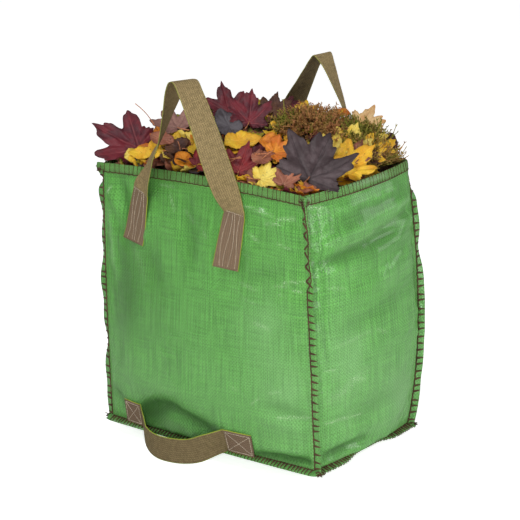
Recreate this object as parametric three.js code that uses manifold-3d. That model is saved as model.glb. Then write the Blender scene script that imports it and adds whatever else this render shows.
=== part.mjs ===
// A garden waste bag of woven plastic sheet, filled with autumn leaves and moss.
// Five sheet panels are sewn together with their edges turned outward, the rim is folded down into a hem,
// and three webbing handles are sewn on: one to carry by on each wide side, and one low down to tip it by.
// Millimetres, +Z up. The origin is the centre of the base, on the ground. The front faces -Y.

import * as THREE from "three";
import Module from "manifold-3d";

const wasm = await Module();
wasm.setup();

// Bag body
const topWidth = 468;
const topDepth = 323;
const baseWidth = 491;
const baseDepth = 297;
const wallHeight = 516;
const seamLift = 34;
const cloth = 0.8;
const clearance = 0.3;
const seamAllowance = 15;
const hemDepth = 19;

// How far the full bag swells past the straight line between its corners
const wideBelly = 26;
const narrowBelly = 22;
const baseBow = 8;
const baseSag = 2;
const footInset = 54;

// Webbing. The handles' places are measured from the rim's corners, and their arcs from the rim.
const webbing = { width: 50, thickness: 2 };
const webbingLift = 0.75;
const handleRise = 179;
const patchLength = 104;
const tippingPatchFoot = 32;

// The load
const loadInset = 0.6;
const heapHeight = 96;
const leafThickness = 0.8;
const restingGap = 0.35;

const colours = {
  sheet: 0x5fae57,
  webbing: 0x958463,
  litter: 0x5a4331,
  moss: 0x7d7a35,
  crimson: 0x6e1c28,
  red: 0x8e1d27,
  plum: 0x3f3236,
  slate: 0x4d434d,
  mauve: 0x6d4a48,
  umber: 0x4a2f25,
  rust: 0xa5705a,
  orange: 0xd9860f,
  tan: 0xe0a868,
  yellow: 0xe6b91f,
  lemon: 0xe8cf55,
};

// Small vector helpers
const vec = (x, y, z) => new THREE.Vector3(x, y, z);
const along = (point, direction, length) => point.clone().addScaledVector(direction, length);
const mix = THREE.MathUtils.lerp;
const radians = THREE.MathUtils.degToRad;

// The four corners run anticlockwise from above. swell is how far the corner seam bows out at half height,
// and seamTurn turns its allowance away from the diagonal, where it has been pressed flat.
const corners = [
  { x: -1, y: -1, swell: 3, seamTurn: 0, rimDip: 5 },
  { x: 1, y: -1, swell: 2, seamTurn: 46, rimDip: 2 },
  { x: 1, y: 1, swell: 21, seamTurn: 0, rimDip: 0 },
  { x: -1, y: 1, swell: 10, seamTurn: 0, rimDip: 2 },
];

// Each wall spans two corners. rimBow moves the middle of the rim outward, and rimRise lifts it.
const walls = {
  front: { corner: 0, out: vec(0, -1, 0), belly: wideBelly, rimBow: -8, rimRise: 4, stations: 12 },
  right: { corner: 1, out: vec(1, 0, 0), belly: narrowBelly, rimBow: 18, rimRise: 0, stations: 9 },
  back: { corner: 2, out: vec(0, 1, 0), belly: wideBelly, rimBow: 10, rimRise: 3, stations: 12 },
  left: { corner: 3, out: vec(-1, 0, 0), belly: narrowBelly, rimBow: 14, rimRise: 0, stations: 9 },
};

// Heights up the wall, as shares, with close rows where it turns under to the base
const hemShare = 1 - hemDepth / wallHeight;
const wallRows = [0, 0.03, 0.07, 0.13, 0.21, 0.32, 0.45, 0.6, 0.75, 0.88, hemShare, 1];
const rimHeight = seamLift + wallHeight;
const plyStep = (cloth + clearance) / 2;

// A corner seam's line, with t from 0 at the base to 1 at the rim.
function cornerPoint(index, t) {
  const corner = corners[index];
  const swell = corner.swell * Math.sin(Math.PI * Math.pow(t, 0.8)) * Math.SQRT1_2;
  const halfWidth = mix(baseWidth, topWidth, t) / 2 + swell;
  const halfDepth = mix(baseDepth, topDepth, t) / 2 + swell;
  const height = seamLift - baseSag + t * (wallHeight + baseSag) - corner.rimDip * t * t;
  return vec(corner.x * halfWidth, corner.y * halfDepth, height);
}

// The way a corner's seam allowance points: out along the diagonal, turned about the vertical.
function allowanceDirection(index) {
  const corner = corners[index];
  const diagonal = vec(corner.x, corner.y, 0).normalize();
  return diagonal.applyAxisAngle(vec(0, 0, 1), radians(corner.seamTurn));
}

// A wall's swelling over the straight line between its corners: none at u = -1 and 1, and most low down.
function swelling(wall, u, t) {
  const across = Math.pow(1 - u * u, 0.85);
  const belly = wall.belly * Math.pow(Math.sin(Math.PI * Math.pow(t, 0.55)), 0.8);
  const bow = mix(baseBow, wall.rimBow, t * t * (3 - 2 * t));
  return across * (belly + bow);
}

// A point of a wall's middle surface, with u from -1 to 1 between its corners and t up its height.
function wallPoint(wall, u, t) {
  const start = cornerPoint(wall.corner, t);
  const end = cornerPoint((wall.corner + 1) % corners.length, t);
  const point = start.lerp(end, (u + 1) / 2).addScaledVector(wall.out, swelling(wall, u, t));
  point.z += (1 - u * u) * (wall.rimRise * t * t + baseSag * (1 - t));
  return point;
}

function wallNormal(wall, u, t) {
  const step = 0.01;
  const low = Math.max(t - step, 0);
  const high = Math.min(t + step, 1);
  const across = wallPoint(wall, Math.min(u + step, 1), t).sub(wallPoint(wall, Math.max(u - step, -1), t));
  return across.cross(wallPoint(wall, u, high).sub(wallPoint(wall, u, low))).normalize();
}

// The share of the wall's height at which it reaches height z, for its column u.
function wallShare(wall, u, z) {
  const low = wallPoint(wall, u, 0).z;
  return (z - low) / (wallPoint(wall, u, 1).z - low);
}

// Columns across a wall, a little closer together toward its corners.
function stationsOf(wall) {
  const widest = 0.46 * Math.PI;
  return Array.from({ length: wall.stations + 1 }, (_, i) => {
    const u = Math.sin(widest * ((2 * i) / wall.stations - 1)) / Math.sin(widest);
    return THREE.MathUtils.clamp(u, -1, 1);
  });
}

// The way the base seam's allowance points: outward and a little down.
const baseAllowanceDirection = (out) => along(vec(0, 0, -0.35), out, 1).normalize();

// Closed solids from grids of points

// The unit normal of each point of a grid, longer at a fold so that the cloth keeps its thickness there.
function gridNormals(grid) {
  const at = (i, j) => grid[i]?.[j];
  return grid.map((row, i) =>
    row.map((point, j) => {
      const faces = [];
      for (const [di, dj] of [[1, 1], [1, -1], [-1, -1], [-1, 1]]) {
        const up = at(i + di, j);
        const side = at(i, j + dj);
        if (!up || !side) continue;
        const face = side.clone().sub(point).cross(up.clone().sub(point)).multiplyScalar(di * dj);
        if (face.lengthSq() > 0) faces.push(face.normalize());
      }
      const normal = faces.reduce((sum, face) => sum.add(face), vec(0, 0, 0)).normalize();
      const mitre = Math.min(...faces.map((face) => face.dot(normal)));
      return normal.divideScalar(Math.max(mitre, 0.5));
    }),
  );
}

// Joins two like grids, outer and inner, and their rims into one closed solid that faces out.
function closeGrids(outer, inner) {
  const rows = outer.length;
  const columns = outer[0].length;
  const points = [...outer.flat(), ...inner.flat()];
  const outerAt = (i, j) => i * columns + j;
  const innerAt = (i, j) => rows * columns + i * columns + j;
  const faces = [];
  const quad = (a, b, c, d) => faces.push(a, b, c, a, c, d);
  for (let i = 0; i + 1 < rows; i++) {
    for (let j = 0; j + 1 < columns; j++) {
      quad(outerAt(i, j), outerAt(i, j + 1), outerAt(i + 1, j + 1), outerAt(i + 1, j));
      quad(innerAt(i, j), innerAt(i + 1, j), innerAt(i + 1, j + 1), innerAt(i, j + 1));
    }
  }
  for (let j = 0; j + 1 < columns; j++) {
    quad(innerAt(0, j), innerAt(0, j + 1), outerAt(0, j + 1), outerAt(0, j));
    quad(outerAt(rows - 1, j), outerAt(rows - 1, j + 1), innerAt(rows - 1, j + 1), innerAt(rows - 1, j));
  }
  for (let i = 0; i + 1 < rows; i++) {
    quad(outerAt(i, 0), outerAt(i + 1, 0), innerAt(i + 1, 0), innerAt(i, 0));
    quad(innerAt(i, columns - 1), innerAt(i + 1, columns - 1), outerAt(i + 1, columns - 1), outerAt(i, columns - 1));
  }
  return geometryOf(points, faces);
}

function geometryOf(points, faces) {
  const geometry = new THREE.BufferGeometry();
  geometry.setAttribute("position", new THREE.Float32BufferAttribute(points.flatMap((p) => [p.x, p.y, p.z]), 3));
  geometry.setIndex(faces);
  geometry.computeVertexNormals();
  return geometry;
}

// A sheet of even thickness about a grid of points. Columns run anticlockwise seen from outside.
function sheetGeometry(grid, thickness) {
  const normals = gridNormals(grid);
  const shifted = (side) =>
    grid.map((row, i) => row.map((point, j) => along(point, normals[i][j], (side * thickness) / 2)));
  return closeGrids(shifted(1), shifted(-1));
}

// A closed solid through like rings of points, anticlockwise from above and listed upward, with a point at each end.
function ringsGeometry(bottom, rings, top) {
  const count = rings[0].length;
  const points = [bottom, ...rings.flat(), top];
  const at = (ring, k) => 1 + ring * count + (k % count);
  const faces = [];
  for (let k = 0; k < count; k++) {
    faces.push(0, at(0, k + 1), at(0, k));
    for (let ring = 0; ring + 1 < rings.length; ring++) {
      faces.push(at(ring, k), at(ring, k + 1), at(ring + 1, k + 1));
      faces.push(at(ring, k), at(ring + 1, k + 1), at(ring + 1, k));
    }
    faces.push(at(rings.length - 1, k), at(rings.length - 1, k + 1), points.length - 1);
  }
  return geometryOf(points, faces);
}

// Panels

// A wall panel with its allowances: turned out at both corners and at the base, and folded down into the hem.
function wallPanel(wall) {
  const next = (wall.corner + 1) % corners.length;
  const baseOut = baseAllowanceDirection(wall.out);
  const baseUp = vec(0, 0, 1).addScaledVector(baseOut, -baseOut.z).normalize();
  const sides = [
    { u: -1, corner: wall.corner },
    { u: 1, corner: next },
  ];
  for (const side of sides) {
    side.direction = allowanceDirection(side.corner);
    side.away = side.direction.clone().cross(vec(0, 0, 1)).multiplyScalar(side.u);
  }
  const columns = [
    { u: -1, side: sides[0], reach: 1 },
    ...stationsOf(wall).map((u) => ({ u, side: sides.find((side) => side.u === u), reach: 0 })),
    { u: 1, side: sides[1], reach: 1 },
  ];
  const place = (column, t, shorter = 0) => {
    const point = wallPoint(wall, column.u, t);
    if (!column.side) return point;
    point.addScaledVector(column.side.away, plyStep);
    return along(point, column.side.direction, seamAllowance * column.reach * (1 - shorter));
  };
  // Square to the cloth, and at a fold lengthened so that a ply laid there clears both sides of it.
  const outwardAt = (column, t) => {
    const normal = wallNormal(wall, column.u, t);
    if (!column.side) return normal;
    if (column.reach) return column.side.away.clone();
    const middle = normal.clone().add(column.side.away).normalize();
    return middle.divideScalar(Math.max(middle.dot(normal), 0.5));
  };
  const onBase = (column, reach) =>
    along(along(place(column, 0, 0.45 * reach), baseUp, plyStep), baseOut, seamAllowance * reach);
  const rows = [
    columns.map((column) => onBase(column, 1)),
    columns.map((column) => onBase(column, 0)),
    ...wallRows.slice(1).map((t) => columns.map((column) => place(column, t))),
  ];
  // The hem turns over a small round, then hangs down the outside a ply away from the wall.
  const foldSteps = 3;
  for (let k = 1; k <= foldSteps; k++) {
    const turn = (Math.PI * k) / foldSteps;
    const fold = (column) => {
      const point = along(place(column, 1), outwardAt(column, 1), plyStep * (1 - Math.cos(turn)));
      point.z += plyStep * Math.sin(turn);
      return point;
    };
    rows.push(columns.map(fold));
  }
  rows.push(columns.map((column) => along(place(column, hemShare), outwardAt(column, hemShare), 2 * plyStep)));
  return sheetGeometry(rows, cloth);
}

// A point of the base's middle surface, filled in from its four seams and pressed flat on the ground inside them.
function basePoint(u, v) {
  const s = (u + 1) / 2;
  const t = (v + 1) / 2;
  const point = vec(0, 0, 0)
    .addScaledVector(wallPoint(walls.front, u, 0), 1 - t)
    .addScaledVector(wallPoint(walls.back, -u, 0), t)
    .addScaledVector(wallPoint(walls.left, -v, 0), 1 - s)
    .addScaledVector(wallPoint(walls.right, v, 0), s)
    .addScaledVector(cornerPoint(0, 0), -(1 - s) * (1 - t))
    .addScaledVector(cornerPoint(1, 0), -s * (1 - t))
    .addScaledVector(cornerPoint(2, 0), -s * t)
    .addScaledVector(cornerPoint(3, 0), -(1 - s) * t);
  const fromSeam = Math.min(((1 - Math.abs(u)) * baseWidth) / 2, ((1 - Math.abs(v)) * baseDepth) / 2);
  point.z = mix(point.z, cloth / 2, Math.sin((Math.PI / 2) * Math.min(fromSeam / footInset, 1)));
  return point;
}

// The base panel, with its allowances turned out under those of the walls.
function basePanel() {
  const front = baseAllowanceDirection(walls.front.out);
  const right = baseAllowanceDirection(walls.right.out);
  const stations = (wall, span) => {
    const foot = 1 - (2 * footInset) / span;
    const all = [...stationsOf(wall), -foot, foot].sort((a, b) => a - b).map((at) => ({ at, reach: 0 }));
    return [{ at: -1, reach: 1 }, ...all, { at: 1, reach: 1 }];
  };
  const rows = stations(walls.right, baseDepth);
  const columns = stations(walls.front, baseWidth);
  const grid = rows.map((row) =>
    columns.map((column) => {
      const point = basePoint(column.at, row.at);
      if (Math.abs(column.at) === 1 || Math.abs(row.at) === 1) point.z -= 2 * plyStep;
      const shorter = column.reach && row.reach ? 0.8 : 1;
      point.x += column.at * right.x * seamAllowance * column.reach * shorter;
      point.y += row.at * -front.y * seamAllowance * row.reach * shorter;
      point.z += front.z * seamAllowance * Math.max(column.reach, row.reach) * shorter;
      return point;
    }),
  );
  return sheetGeometry(grid.map((row) => row.reverse()), cloth);
}

// Handles

// A strap through stations, each with its middle, the way across its width, and the side that faces out.
function strapGeometry(stations) {
  const corner = ({ middle, across, out }, side, face) =>
    along(along(middle, across, (side * webbing.width) / 2), out, (face * webbing.thickness) / 2);
  const outer = stations.map((station) => [corner(station, -1, 1), corner(station, 1, 1)]);
  const inner = stations.map((station) => [corner(station, -1, -1), corner(station, 1, -1)]);
  return closeGrids(outer, inner);
}

// A strap's end where it lies sewn on a wall, between two places on it, with its outer side out.
function sewnStations(wall, from, to, count) {
  const rightward = wall.out.y < 0 ? 1 : -1;
  const lift = (cloth + webbing.thickness) / 2 + webbingLift;
  const heading = vec(to.x - from.x, 0, to.z - from.z).normalize();
  return Array.from({ length: count + 1 }, (_, i) => {
    const u = (rightward * mix(from.x, to.x, i / count)) / (topWidth / 2);
    const t = wallShare(wall, u, mix(from.z, to.z, i / count));
    const normal = wallNormal(wall, u, t);
    const across = heading.clone().cross(normal).normalize();
    const tangent = normal.clone().cross(across);
    return { middle: along(wallPoint(wall, u, t), normal, lift), across, out: across.clone().cross(tangent) };
  });
}

// A whole handle: sewn on at both ends, and between them a smooth curve whose width turns as each point gives.
function handle(firstEnd, path, lastEnd, count) {
  const knots = [firstEnd.at(-1), ...path, lastEnd[0]];
  const curve = new THREE.CatmullRomCurve3(knots.map((knot) => knot.middle), false, "centripetal");
  const spans = knots.length - 1;
  const free = Array.from({ length: count - 1 }, (_, i) => {
    const share = (i + 1) / count;
    const span = Math.min(Math.floor(share * spans), spans - 1);
    const across = knots[span].across.clone().lerp(knots[span + 1].across, share * spans - span);
    const tangent = curve.getTangent(share);
    across.addScaledVector(tangent, -across.dot(tangent)).normalize();
    return { middle: curve.getPoint(share), across, out: across.clone().cross(tangent) };
  });
  return strapGeometry([...firstEnd, ...free, ...lastEnd]);
}

// A point of a carrying handle: along and out from the wall's middle, above the rim, and the turn of its width.
function knot(wall, x, out, above, turn) {
  const lift = above > 0 ? (above * handleRise) / 179 : above;
  const middle = vec(x, wall.out.y * (topDepth / 2 + out), rimHeight + lift);
  return { middle, across: vec(Math.cos(radians(turn)), Math.sin(radians(turn)), 0) };
}

function frontHandle() {
  const wall = walls.front;
  const top = rimHeight - hemDepth - 23;
  const first = sewnStations(wall, { x: -158, z: top - patchLength }, { x: -137, z: top }, 4);
  const last = sewnStations(wall, { x: 80, z: top - 10 }, { x: 70, z: top - 10 - patchLength }, 4);
  const path = [
    knot(wall, -116, 13, -8, -37),
    knot(wall, -97, 17, 28, -46),
    knot(wall, -78, 17, 60, -57),
    knot(wall, -60, 12, 116, -76),
    knot(wall, -49, 6, 156, -95),
    knot(wall, -36, 6, 174, -108),
    knot(wall, -18, 12, 176, -114),
    knot(wall, 0, 18, 156, -112),
    knot(wall, 27, 20, 104, -118),
    knot(wall, 52, 17, 38, -134),
    knot(wall, 67, 9, -12, -152),
  ];
  return handle(first, path, last, 46);
}

function backHandle() {
  const wall = walls.back;
  const top = rimHeight - hemDepth - 23;
  const first = sewnStations(wall, { x: -84, z: top - patchLength }, { x: -82, z: top }, 4);
  const last = sewnStations(wall, { x: 106, z: top }, { x: 110, z: top - patchLength }, 4);
  const path = [
    knot(wall, -68, 19, -4, 194),
    knot(wall, -40, 15, 72, 240),
    knot(wall, -8, 12, 126, 262),
    knot(wall, 8, 12, 153, 270),
    knot(wall, 22, 11, 171, 268),
    knot(wall, 32, 11, 179, 264),
    knot(wall, 46, 11, 161, 280),
    knot(wall, 64, 12, 122, 292),
    knot(wall, 85, 13, 72, 303),
    knot(wall, 97, 21, 4, 336),
  ];
  return handle(first, path, last, 40);
}

// The tipping handle lies on its edge, and sags from its two ends to the ground.
function tippingHandle() {
  const wall = walls.front;
  const sewn = tippingPatchFoot + webbing.width / 2;
  const end = (x0, x1) => sewnStations(wall, { x: x0, z: sewn }, { x: x1, z: sewn }, 3);
  const sag = (x, out, z, lean) => ({
    middle: vec(x, -(baseDepth / 2 + out), z),
    across: vec(0, Math.sin(radians(lean)), -Math.cos(radians(lean))),
  });
  const lowest = webbing.width / 2 + 2.5;
  const path = [
    sag(-128, 44, sewn - 8, 4),
    sag(-108, 58, lowest + 6.5, 6),
    sag(-76, 68, lowest, 4),
    sag(-30, 65, lowest, 2),
    sag(4, 57, lowest + 5.5, 4),
    sag(32, 48, sewn - 11, 6),
  ];
  return handle(end(-192, -148), path, end(54, 114), 20);
}

// The load

// The packed litter's height under the heap of leaves: steep at the back and both sides, easing to the front.
function heapAt(x, y) {
  const across = Math.min(Math.abs((2 * x) / topWidth), 1);
  const back = THREE.MathUtils.clamp((2 * y) / topDepth, -1, 1);
  const sideways = 1 - Math.pow(across, mix(2.4, 7, (back + 1) / 2));
  const frontToBack = 1 - Math.pow(Math.abs(back), back < 0 ? 2 : 7);
  const lumps = 3 * Math.sin(x / 27) * Math.cos(y / 21) + 2 * Math.sin(y / 13 + x / 19);
  return rimHeight - hemDepth + sideways * frontToBack * (heapHeight + lumps);
}

// The litter fills the bag: it follows the base and the walls just inside them, and rises above the rim as a heap.
function packedLitter() {
  const around = Object.values(walls).flatMap((wall) =>
    stationsOf(wall)
      .slice(0, -1)
      .map((u, i) => ({ wall, u, corner: i === 0 ? wall.corner : null })),
  );
  const insideWall = (t) =>
    around.map(({ wall, u, corner }) => {
      if (corner === null) return along(wallPoint(wall, u, t), wallNormal(wall, u, t), -(cloth / 2 + loadInset));
      const diagonal = vec(corners[corner].x, corners[corner].y, 0).normalize();
      return along(cornerPoint(corner, t), diagonal, -3);
    });
  const onBase = (inset) =>
    around.map(({ wall, u }) => {
      const across = wall.out.y ? -wall.out.y * u : wall.out.x;
      const deep = wall.out.y ? wall.out.y : wall.out.x * u;
      const point = basePoint(across * (1 - (2 * inset) / baseWidth), deep * (1 - (2 * inset) / baseDepth));
      point.z = cloth + loadInset;
      return point;
    });
  const edge = insideWall(hemShare);
  const heapRing = (share) => edge.map((p) => vec(p.x * share, p.y * share, heapAt(p.x * share, p.y * share)));
  const rings = [
    onBase(footInset + 60),
    onBase(footInset + 4),
    ...wallRows.slice(1, -1).map(insideWall),
    ...[0.9, 0.74, 0.56, 0.38, 0.19].map(heapRing),
  ];
  return ringsGeometry(vec(0, 0, cloth + loadInset), rings, vec(0, 0, heapAt(0, 0)));
}

// Leaf outlines from the middle of the blade: degrees from the tip, and the share of the leaf's length.
const outlines = {
  maple: [
    [0, 1], [8, 0.82], [14, 0.84], [21, 0.66], [28, 0.56], [35, 0.68], [42, 0.86], [48, 0.93], [55, 0.77],
    [63, 0.76], [72, 0.57], [80, 0.48], [92, 0.55], [104, 0.62], [118, 0.46], [135, 0.38], [155, 0.28], [176, 0.12],
  ],
  oval: [
    [0, 1], [12, 0.88], [28, 0.76], [46, 0.67], [66, 0.61], [88, 0.6], [110, 0.62], [132, 0.66], [154, 0.7],
    [172, 0.72],
  ],
};

// A leaf lying about the origin with its tip along +X: a thin blade, cupped, folded along its middle and waved.
function leafGeometry({ kind, length, cup = 0.1, fold = 0.1, wave = 0.05 }) {
  const half = outlines[kind];
  const right = half.slice(1).map(([angle, share]) => [-angle, share]);
  const left = half.slice(1).map(([angle, share]) => [angle, share]);
  const outline = [half[0], ...left, ...right.reverse()];
  const at = ([angle, share], inward, face) => {
    const reach = share * inward;
    const turn = radians(angle);
    const bend = cup * reach * reach + fold * reach * Math.abs(Math.sin(turn));
    const ripple = wave * reach * reach * Math.sin(3 * turn + length);
    return vec(
      length * reach * Math.cos(turn),
      length * reach * Math.sin(turn),
      length * (bend + ripple) + (face * leafThickness) / 2,
    );
  };
  const ring = (inward, face) => outline.map((entry) => at(entry, inward, face));
  const middle = (face) => vec(0, 0, (face * leafThickness) / 2);
  return ringsGeometry(middle(-1), [ring(0.55, -1), ring(1, -1), ring(1, 1), ring(0.55, 1)], middle(1));
}

// A cushion of moss over the litter, about a place on the heap, with an uneven outline and top.
function mossGeometry({ x, y, width, depth, height, turn }) {
  const count = 22;
  const at = (share, lift, k) => {
    const angle = (2 * Math.PI * k) / count;
    const uneven = 1 + 0.12 * Math.sin(3 * angle + turn) + 0.08 * Math.sin(7 * angle + x);
    const px = x + (Math.cos(angle) * width * share * uneven) / 2;
    const py = y + (Math.sin(angle) * depth * share * uneven) / 2;
    const lumps = 1 + 0.25 * Math.sin(px / 9) * Math.cos(py / 8);
    return vec(px, py, heapAt(px, py) + lift * height * lumps);
  };
  const ring = (share, lift) => Array.from({ length: count }, (_, k) => at(share, lift, k));
  const rings = [ring(0.5, 0), ring(0.95, 0), ring(1, 0.35), ring(0.82, 0.85), ring(0.6, 1), ring(0.3, 1.05)];
  return ringsGeometry(vec(x, y, heapAt(x, y)), rings, vec(x, y, heapAt(x, y) + height));
}

// Each thing laid on the heap, lowest first. heading is where a leaf's tip points in plan, from +X. slope is how
// far it leans from lying flat, and toward is the way its upper side then faces.
const mosses = {
  moss_middle: { x: 94, y: 24, width: 82, depth: 92, height: 20, turn: 0.4 },
  moss_right: { x: 186, y: 82, width: 78, depth: 90, height: 20, turn: 2.1 },
};
const leaves = {
  brown_oval_leaf: { kind: "oval", colour: "umber", x: -92, y: -118, length: 30, heading: 70, toward: -50, slope: 30 },
  mauve_maple_leaf: { kind: "maple", colour: "mauve", x: -128, y: -72, length: 52, heading: 150, toward: -60, slope: 24 },
  pink_oval_leaf: { kind: "oval", colour: "rust", x: -122, y: -126, length: 28, heading: 20, toward: -40, slope: 38 },
  yellow_round_leaf: { kind: "oval", colour: "yellow", x: -168, y: -128, length: 25, heading: 215, toward: -50, slope: 40 },
  yellow_gap_leaf: { kind: "oval", colour: "yellow", x: -44, y: -116, length: 23, heading: 40, toward: -50, slope: 30 },
  yellow_back_leaf: { kind: "maple", colour: "yellow", x: 52, y: 78, length: 36, heading: 60, toward: -50, slope: 30 },
  tan_maple_leaf: { kind: "maple", colour: "tan", x: 158, y: 147, length: 42, heading: 50, toward: -50, slope: 30 },
  plum_back_leaf: { kind: "maple", colour: "plum", x: 30, y: 26, length: 52, heading: 80, toward: -50, slope: 30 },
  slate_oval_leaf: { kind: "oval", colour: "slate", x: -8, y: -66, length: 34, heading: 150, toward: -52, slope: 42 },
  yellow_middle_leaf: { kind: "oval", colour: "yellow", x: 50, y: -84, length: 38, heading: 40, toward: -52, slope: 32 },
  crimson_top_leaf: { kind: "maple", colour: "crimson", x: 16, y: -34, length: 78, heading: 122, toward: -52, slope: 50 },
  crimson_back_leaf: { kind: "maple", colour: "crimson", x: -64, y: 6, length: 58, heading: 140, toward: -56, slope: 40 },
  orange_middle_leaf: { kind: "maple", colour: "orange", x: 126, y: -88, length: 44, heading: 70, toward: -50, slope: 36 },
  rust_folded_leaf: { kind: "oval", colour: "rust", x: 104, y: -112, length: 24, heading: 60, toward: -30, slope: 40 },
  crimson_front_leaf: { kind: "maple", colour: "red", x: 64, y: -128, length: 44, heading: 110, toward: -52, slope: 44 },
  lemon_front_leaf: { kind: "maple", colour: "lemon", x: 128, y: -138, length: 38, heading: 60, toward: -52, slope: 36 },
  lemon_maple_leaf: { kind: "maple", colour: "lemon", x: 196, y: 34, length: 56, heading: 110, toward: -48, slope: 52 },
  yellow_maple_leaf: { kind: "maple", colour: "yellow", x: 214, y: -8, length: 86, heading: 84, toward: -42, slope: 46 },
  plum_maple_leaf: { kind: "maple", colour: "plum", x: 192, y: -98, length: 110, heading: 105, toward: -48, slope: 42 },
  rust_front_leaf: { kind: "maple", colour: "rust", x: 176, y: -138, length: 38, heading: 100, toward: -60, slope: 40 },
  crimson_maple_leaf: { kind: "maple", colour: "crimson", x: -204, y: -98, length: 80, heading: 188, toward: -54, slope: 46 },
};

// Settling

const { Manifold, Mesh } = wasm;

function manifoldOf(geometry) {
  const vertProperties = Float32Array.from(geometry.attributes.position.array);
  return new Manifold(new Mesh({ numProp: 3, vertProperties, triVerts: Uint32Array.from(geometry.index.array) }));
}

// Lowers a solid straight down until it all but touches the pile, and adds it there.
function settle(geometry, pile) {
  const highest = Math.max(...pile.map((other) => other.boundingBox().max[2]));
  geometry.computeBoundingBox();
  geometry.translate(0, 0, highest + 5 - geometry.boundingBox.min.z);
  let solid = manifoldOf(geometry);
  let drop = 0;
  for (let step = 0; step < 60; step++) {
    const gap = Math.min(...pile.map((other) => solid.minGap(other, 40)));
    if (gap < restingGap + 0.05) break;
    drop += gap - restingGap;
    solid = solid.translate([0, 0, restingGap - gap]);
  }
  geometry.translate(0, 0, -drop);
  pile.push(solid);
  return geometry;
}

// Turns a leaf to its heading, leans it, and puts it over its place.
function laidLeaf(leaf) {
  const geometry = leafGeometry(leaf);
  const axis = vec(-Math.sin(radians(leaf.toward)), Math.cos(radians(leaf.toward)), 0);
  const lean = new THREE.Matrix4().makeRotationAxis(axis, radians(leaf.slope));
  geometry.applyMatrix4(new THREE.Matrix4().makeRotationZ(radians(leaf.heading)));
  geometry.applyMatrix4(lean);
  geometry.translate(leaf.x, leaf.y, 0);
  return geometry;
}

// The bag and its load

const bag = new THREE.Group();
bag.name = "garden_waste_bag";
const pile = [];

function add(name, geometry, colour, roughness) {
  geometry.computeVertexNormals();
  const material = new THREE.MeshStandardMaterial({ color: colour, roughness, metalness: 0 });
  material.name = name;
  const mesh = new THREE.Mesh(geometry, material);
  mesh.name = name;
  bag.add(mesh);
}

function addFixed(name, geometry, colour, roughness) {
  pile.push(manifoldOf(geometry));
  add(name, geometry, colour, roughness);
}

for (const [side, wall] of Object.entries(walls)) {
  addFixed(`${side}_panel`, wallPanel(wall), colours.sheet, 0.45);
}
addFixed("base_panel", basePanel(), colours.sheet, 0.45);
addFixed("front_carry_handle", frontHandle(), colours.webbing, 0.85);
addFixed("back_carry_handle", backHandle(), colours.webbing, 0.85);
addFixed("tipping_handle", tippingHandle(), colours.webbing, 0.85);
addFixed("packed_litter", packedLitter(), colours.litter, 0.9);
for (const [name, moss] of Object.entries(mosses)) {
  add(name, settle(mossGeometry(moss), pile), colours.moss, 0.9);
}
for (const [name, leaf] of Object.entries(leaves)) {
  add(name, settle(laidLeaf(leaf), pile), colours[leaf.colour], 0.6);
}

export default bag;
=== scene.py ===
import bpy
import numpy as np
from bpy.props import FloatProperty, FloatVectorProperty, IntProperty, PointerProperty
from mathutils import Matrix, Vector


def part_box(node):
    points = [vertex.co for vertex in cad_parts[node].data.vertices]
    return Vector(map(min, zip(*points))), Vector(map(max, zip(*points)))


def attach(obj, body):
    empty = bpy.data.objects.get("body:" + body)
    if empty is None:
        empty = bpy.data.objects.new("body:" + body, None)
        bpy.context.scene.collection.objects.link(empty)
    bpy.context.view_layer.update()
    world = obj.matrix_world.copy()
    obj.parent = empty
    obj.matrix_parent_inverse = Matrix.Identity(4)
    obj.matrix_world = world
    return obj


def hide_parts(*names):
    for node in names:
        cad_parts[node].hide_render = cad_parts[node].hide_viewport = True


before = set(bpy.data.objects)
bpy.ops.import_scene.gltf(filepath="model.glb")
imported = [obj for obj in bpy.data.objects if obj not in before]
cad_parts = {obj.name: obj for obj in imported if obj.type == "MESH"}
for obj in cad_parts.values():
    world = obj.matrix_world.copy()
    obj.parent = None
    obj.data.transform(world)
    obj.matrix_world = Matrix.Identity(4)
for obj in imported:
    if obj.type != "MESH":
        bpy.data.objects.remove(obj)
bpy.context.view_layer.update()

bl_info = {
    "name": "Garden Waste Bag",
    "version": (1, 0, 0),
    "blender": (4, 5, 0),
    "location": "View3D > Sidebar > Garden Bag",
    "description": "Finishes a woven garden waste bag that is filled with autumn leaves and moss",
    "category": "Add Mesh",
}

MM = 0.001

# Sizes of the sewn bag in millimetres, as in the part's source
TOP_WIDTH, TOP_DEPTH = 468.0, 323.0
BASE_WIDTH, BASE_DEPTH = 491.0, 297.0
WALL_HEIGHT, SEAM_LIFT = 516.0, 34.0
RIM = SEAM_LIFT + WALL_HEIGHT
CLOTH = 0.8
PLY = 0.55
ALLOWANCE = 15.0
HEM = 19.0
HEM_SHOWN = 16.0
HEM_SHARE = 1 - HEM_SHOWN / WALL_HEIGHT
BASE_BOW, BASE_SAG, FOOT_INSET = 8.0, 2.0, 54.0
WEB_WIDTH, WEB_THICK, WEB_LIFT = 50.0, 2.0, 0.75
PATCH_LENGTH, PATCH_FOOT, PATCH_DROP = 104.0, 32.0, 23.0
SEWN_LIFT = (CLOTH + WEB_THICK) / 2 + WEB_LIFT
HEAP = 96.0
LEAF_THICK = 0.8
UP = np.array([0.0, 0.0, 1.0])

# Corner: the side it is on along X and Y, seam swell, turn of its allowance, dip of the rim
CORNERS = (
    (-1, -1, 3, 0, 5),
    (1, -1, 2, 46, 2),
    (1, 1, 21, 0, 0),
    (-1, 1, 10, 0, 2),
)

# Wall: its first corner, the way it faces, belly, bow and rise of the rim, flat width
WALLS = {
    "front": (0, (0, -1), 26, -8, 4, BASE_WIDTH),
    "right": (1, (1, 0), 22, 18, 0, BASE_DEPTH),
    "back": (2, (0, 1), 26, 10, 3, BASE_WIDTH),
    "left": (3, (-1, 0), 22, 14, 0, BASE_DEPTH),
}

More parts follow.
